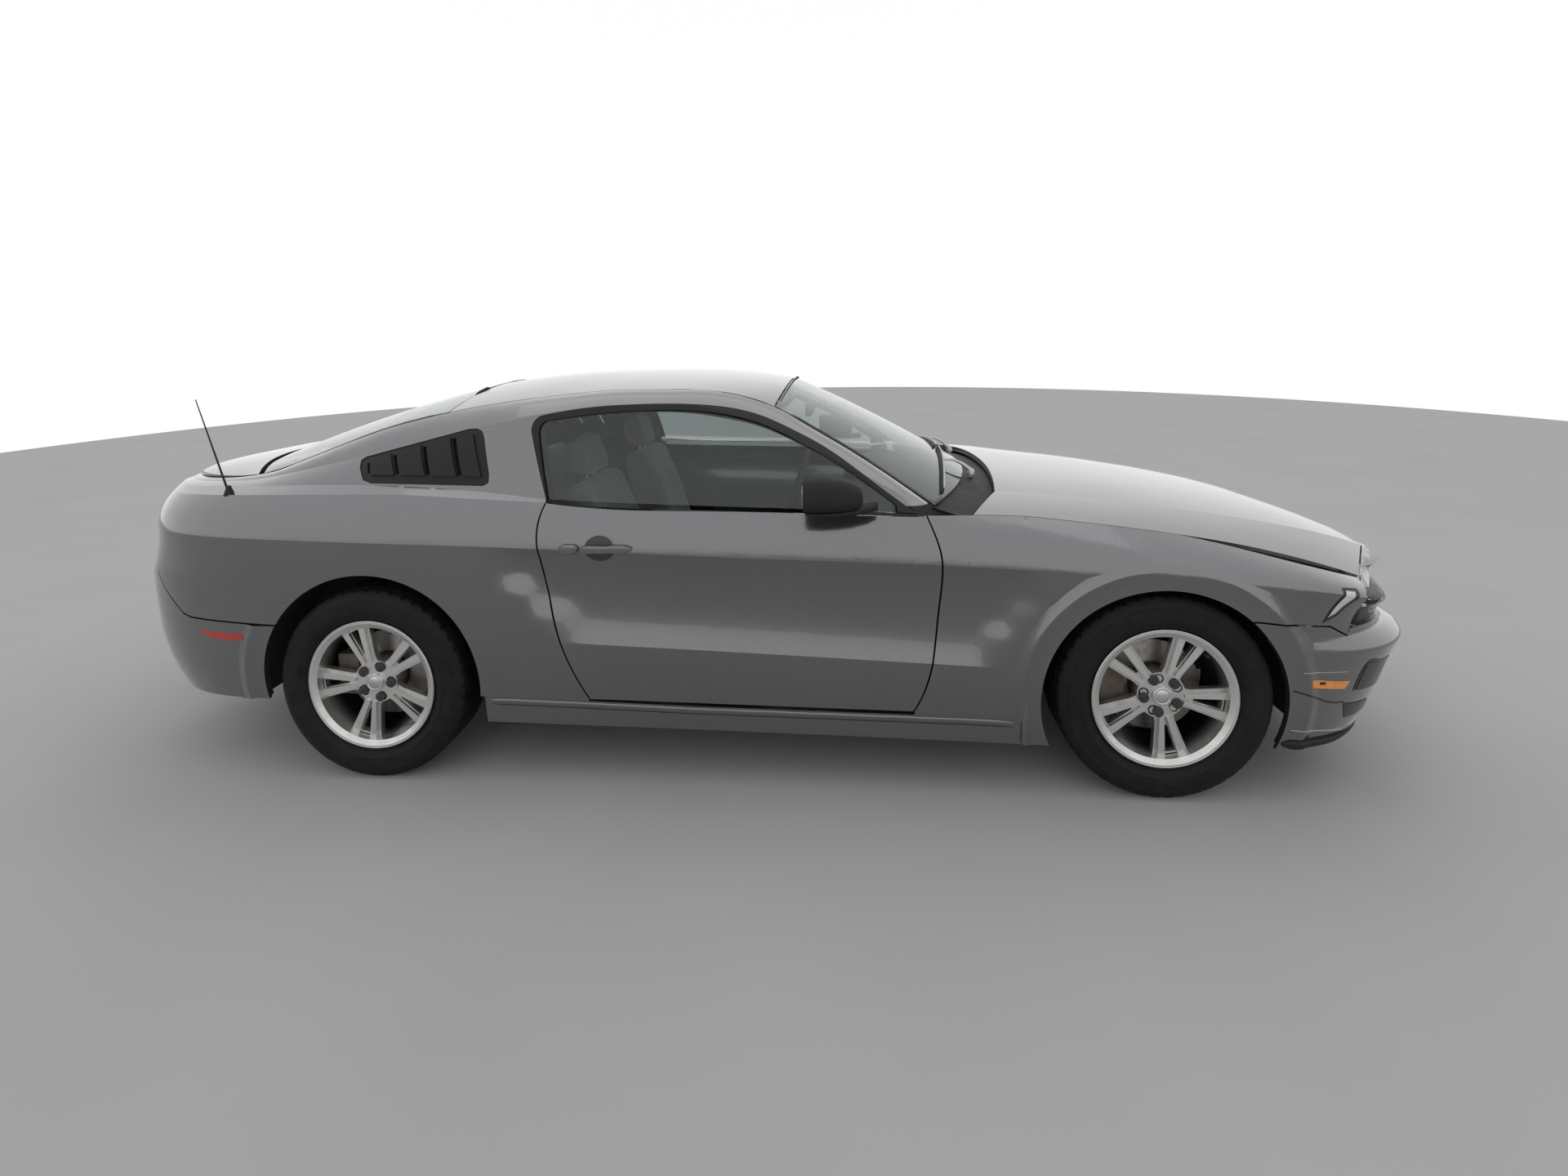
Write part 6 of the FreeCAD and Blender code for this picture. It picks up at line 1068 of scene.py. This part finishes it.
# Roof seams
ROOF_SEAM = ((-1.1, -0.627), (-0.95, -0.622), (-0.75, -0.617), (-0.5, -0.613), (0.0, -0.613), (0.16, -0.633))
roof_seam = strip([on_top(("roof_panel", "quarter_panel_right"), x, y)
                   for x, y in smooth_path(ROOF_SEAM, 48)], 0.007, 0.0012)
piece("roof_seams", both_sides(roof_seam), GLOSS_BLACK_AND_GROOVE_SHADE)

# Flanges that carry the fender and the nose panel up to the bonnet's shut line
SHUT_LINE = 0.0055


def flange(rows):
    """Sheet from an outer edge to a shut line, turned down along its inner side."""
    rings = []
    for outer, inner in rows:
        away = (inner - outer).normalized()
        rings.append([outer - away * 0.012 - UP * 0.0005, outer, outer.lerp(inner, 0.5), inner,
                      inner + away * 0.0015 - UP * 0.002, inner + away * 0.0015 - UP * 0.022])
    return loft(rings, closed=False, caps=False)


side_rows = []
for k in range(56):
    x = 1.42 + 0.011 * k
    outer = edge_scan("fender_right", (x, -0.895), (0.0, 0.001), 200)
    inner = edge_scan("hood", (x, -0.7), (0.0, -0.001), 200)
    if outer and inner and inner[0].y - outer[0].y > SHUT_LINE:
        side_rows.append((outer[0],
                          Vector((x, inner[0].y - SHUT_LINE, min(outer[0].z + 0.004, inner[0].z - 0.001)))))
piece("bonnet_side_flanges", both_sides(flange(side_rows)), PAINT)
nose_rows = []
for k in range(-38, 39):
    y = 0.02 * k
    lip = edge_scan("hood", (2.0, y), (0.001, 0.0), 400)[0]
    tops = [on_top("nose_panel", lip.x + SHUT_LINE + 0.004 + 0.002 * i, y)[0] for i in range(40)]
    ridge = max((top for top in tops if top is not None), key=lambda top: top.z)
    nose_rows.append((ridge, Vector((lip.x + SHUT_LINE, y, max(ridge.z, lip.z - 0.002)))))
piece("bonnet_front_flange", flange(nose_rows), PAINT)

# Wipers parked at the foot of the windscreen
WIPERS = (((0.742, -0.64), (0.772, -0.42), (0.795, -0.2), (0.805, -0.02)),
          ((0.79, -0.06), (0.796, 0.14), (0.782, 0.34), (0.752, 0.54)))
WIPER_PIVOTS = ((0.905, -0.3), (0.905, 0.28))


def wiper(path, pivot):
    """Blade along (x, y) places on the glass, and its spine, arm and pivot cap."""
    hits = [hit for hit in (on_top("windshield", x, y) for x, y in smooth_path(path, 24))
            if hit[0] is not None]
    spine = tube([p + n * 0.016 for p, n in hits[1:-1]], 0.0035, 8)
    middle, normal = hits[len(hits) // 2]
    foot = on_top("cowl_panel", *pivot)[0]
    arm = tube([foot + UP * 0.004, foot + UP * 0.03, foot.lerp(middle, 0.3) + UP * 0.04,
                foot.lerp(middle, 0.75) + normal * 0.034, middle + normal * 0.019],
               (0.013, 0.012, 0.008, 0.006, 0.005), 10, 0.7)
    cap = shifted(turned(revolved([(0.0, -0.016), (0.012, -0.015), (0.015, -0.01), (0.016, 0.006)], 20),
                         Matrix.Rotation(QUARTER_TURN, 4, "X")), foot.x, foot.y, foot.z + 0.02)
    return bead(hits, 0.012, 0.011), joined([spine, arm, cap])


for number, (path, pivot) in enumerate(zip(WIPERS, WIPER_PIVOTS)):
    blade, arm = wiper(path, pivot)
    piece("wiper_blade_%d" % number, blade, TRIM)
    piece("wiper_arm_%d" % number, arm, WIPER_METAL)


# Floor, world and lights: a grey disc under a white dome
FLOOR_CENTRE = (-0.38, 6.6)
FLOOR_RADIUS = 12.4
FLOOR_THICKNESS = 0.02
FLOOR_TONES = ((0.352, 0.352, 0.352), (0.372, 0.372, 0.372))
SKY_STOPS = ((0.0, (1.0, 1.0, 1.0)), (0.35, (1.0, 1.0, 1.0)), (1.0, (0.96, 0.97, 1.0)))


def disc_floor():
    places, faces = loft([[Vector((FLOOR_CENTRE[0] + FLOOR_RADIUS * math.cos(a),
                                   FLOOR_CENTRE[1] + FLOOR_RADIUS * math.sin(a), z)) for a in angles(256)]
                          for z in (-FLOOR_THICKNESS, 0.0)])
    mesh = bpy.data.meshes.new("floor")
    mesh.from_pydata([tuple(p) for p in places], [], faces)
    floor = bpy.data.objects.new("floor", mesh)
    bpy.context.collection.objects.link(floor)
    material, tree, shader = new_material("floor_grey", {"Roughness": 0.85, "Specular IOR Level": 0.2})
    tone = noise(tree, 1.2, 6.0)
    tree.links.new(ramp(tree, tone, ((0.3, FLOOR_TONES[0]), (0.7, FLOOR_TONES[1]))),
                   shader.inputs["Base Color"])
    mesh.materials.append(material)


def world_light():
    world = bpy.data.worlds.new("studio")
    bpy.context.scene.world = world
    world.use_nodes = True
    tree = world.node_tree
    background = tree.nodes["Background"]
    height = along_axis(tree, add_node(tree, "ShaderNodeTexCoord").outputs["Generated"], "Z")
    sky = ramp(tree, span(tree, height, 0.0, 1.0, -0.1, 1.0), SKY_STOPS)
    tree.links.new(sky, background.inputs["Color"])
    background.inputs["Strength"].default_value = 1.0


def area_light(name, place, target, size, power):
    light = bpy.data.lights.new(name, "AREA")
    light.shape = "RECTANGLE"
    light.size, light.size_y = size
    light.energy = power
    lamp = bpy.data.objects.new(name, light)
    bpy.context.collection.objects.link(lamp)
    lamp.location = place
    lamp.rotation_euler = (Vector(target) - Vector(place)).to_track_quat("-Z", "Y").to_euler()


disc_floor()
world_light()
area_light("overhead", (0.0, 0.5, 6.5), (0.0, 0.0, 0.5), (9.0, 5.0), 60.0)


# Camera


def place_camera():
    data = bpy.data.cameras.new("camera")
    data.lens = CAMERA_LENS
    data.sensor_width = CAMERA_SENSOR
    data.shift_y = CAMERA_SHIFT_Y
    camera = bpy.data.objects.new("camera", data)
    bpy.context.collection.objects.link(camera)
    yaw, pitch, roll = CAMERA_YAW, CAMERA_PITCH, CAMERA_ROLL
    forward = Vector((math.sin(yaw) * math.cos(pitch), math.cos(yaw) * math.cos(pitch), -math.sin(pitch)))
    level = Vector((math.cos(yaw), -math.sin(yaw), 0.0))
    upward = level.cross(forward)
    right = level * math.cos(roll) + upward * math.sin(roll)
    up = upward * math.cos(roll) - level * math.sin(roll)
    turn = Matrix((right, up, -forward)).transposed()
    camera.matrix_world = Matrix.Translation(CAMERA_PLACE) @ turn.to_4x4()
    bpy.context.scene.camera = camera


place_camera()
bpy.context.scene.view_settings.view_transform = "Standard"
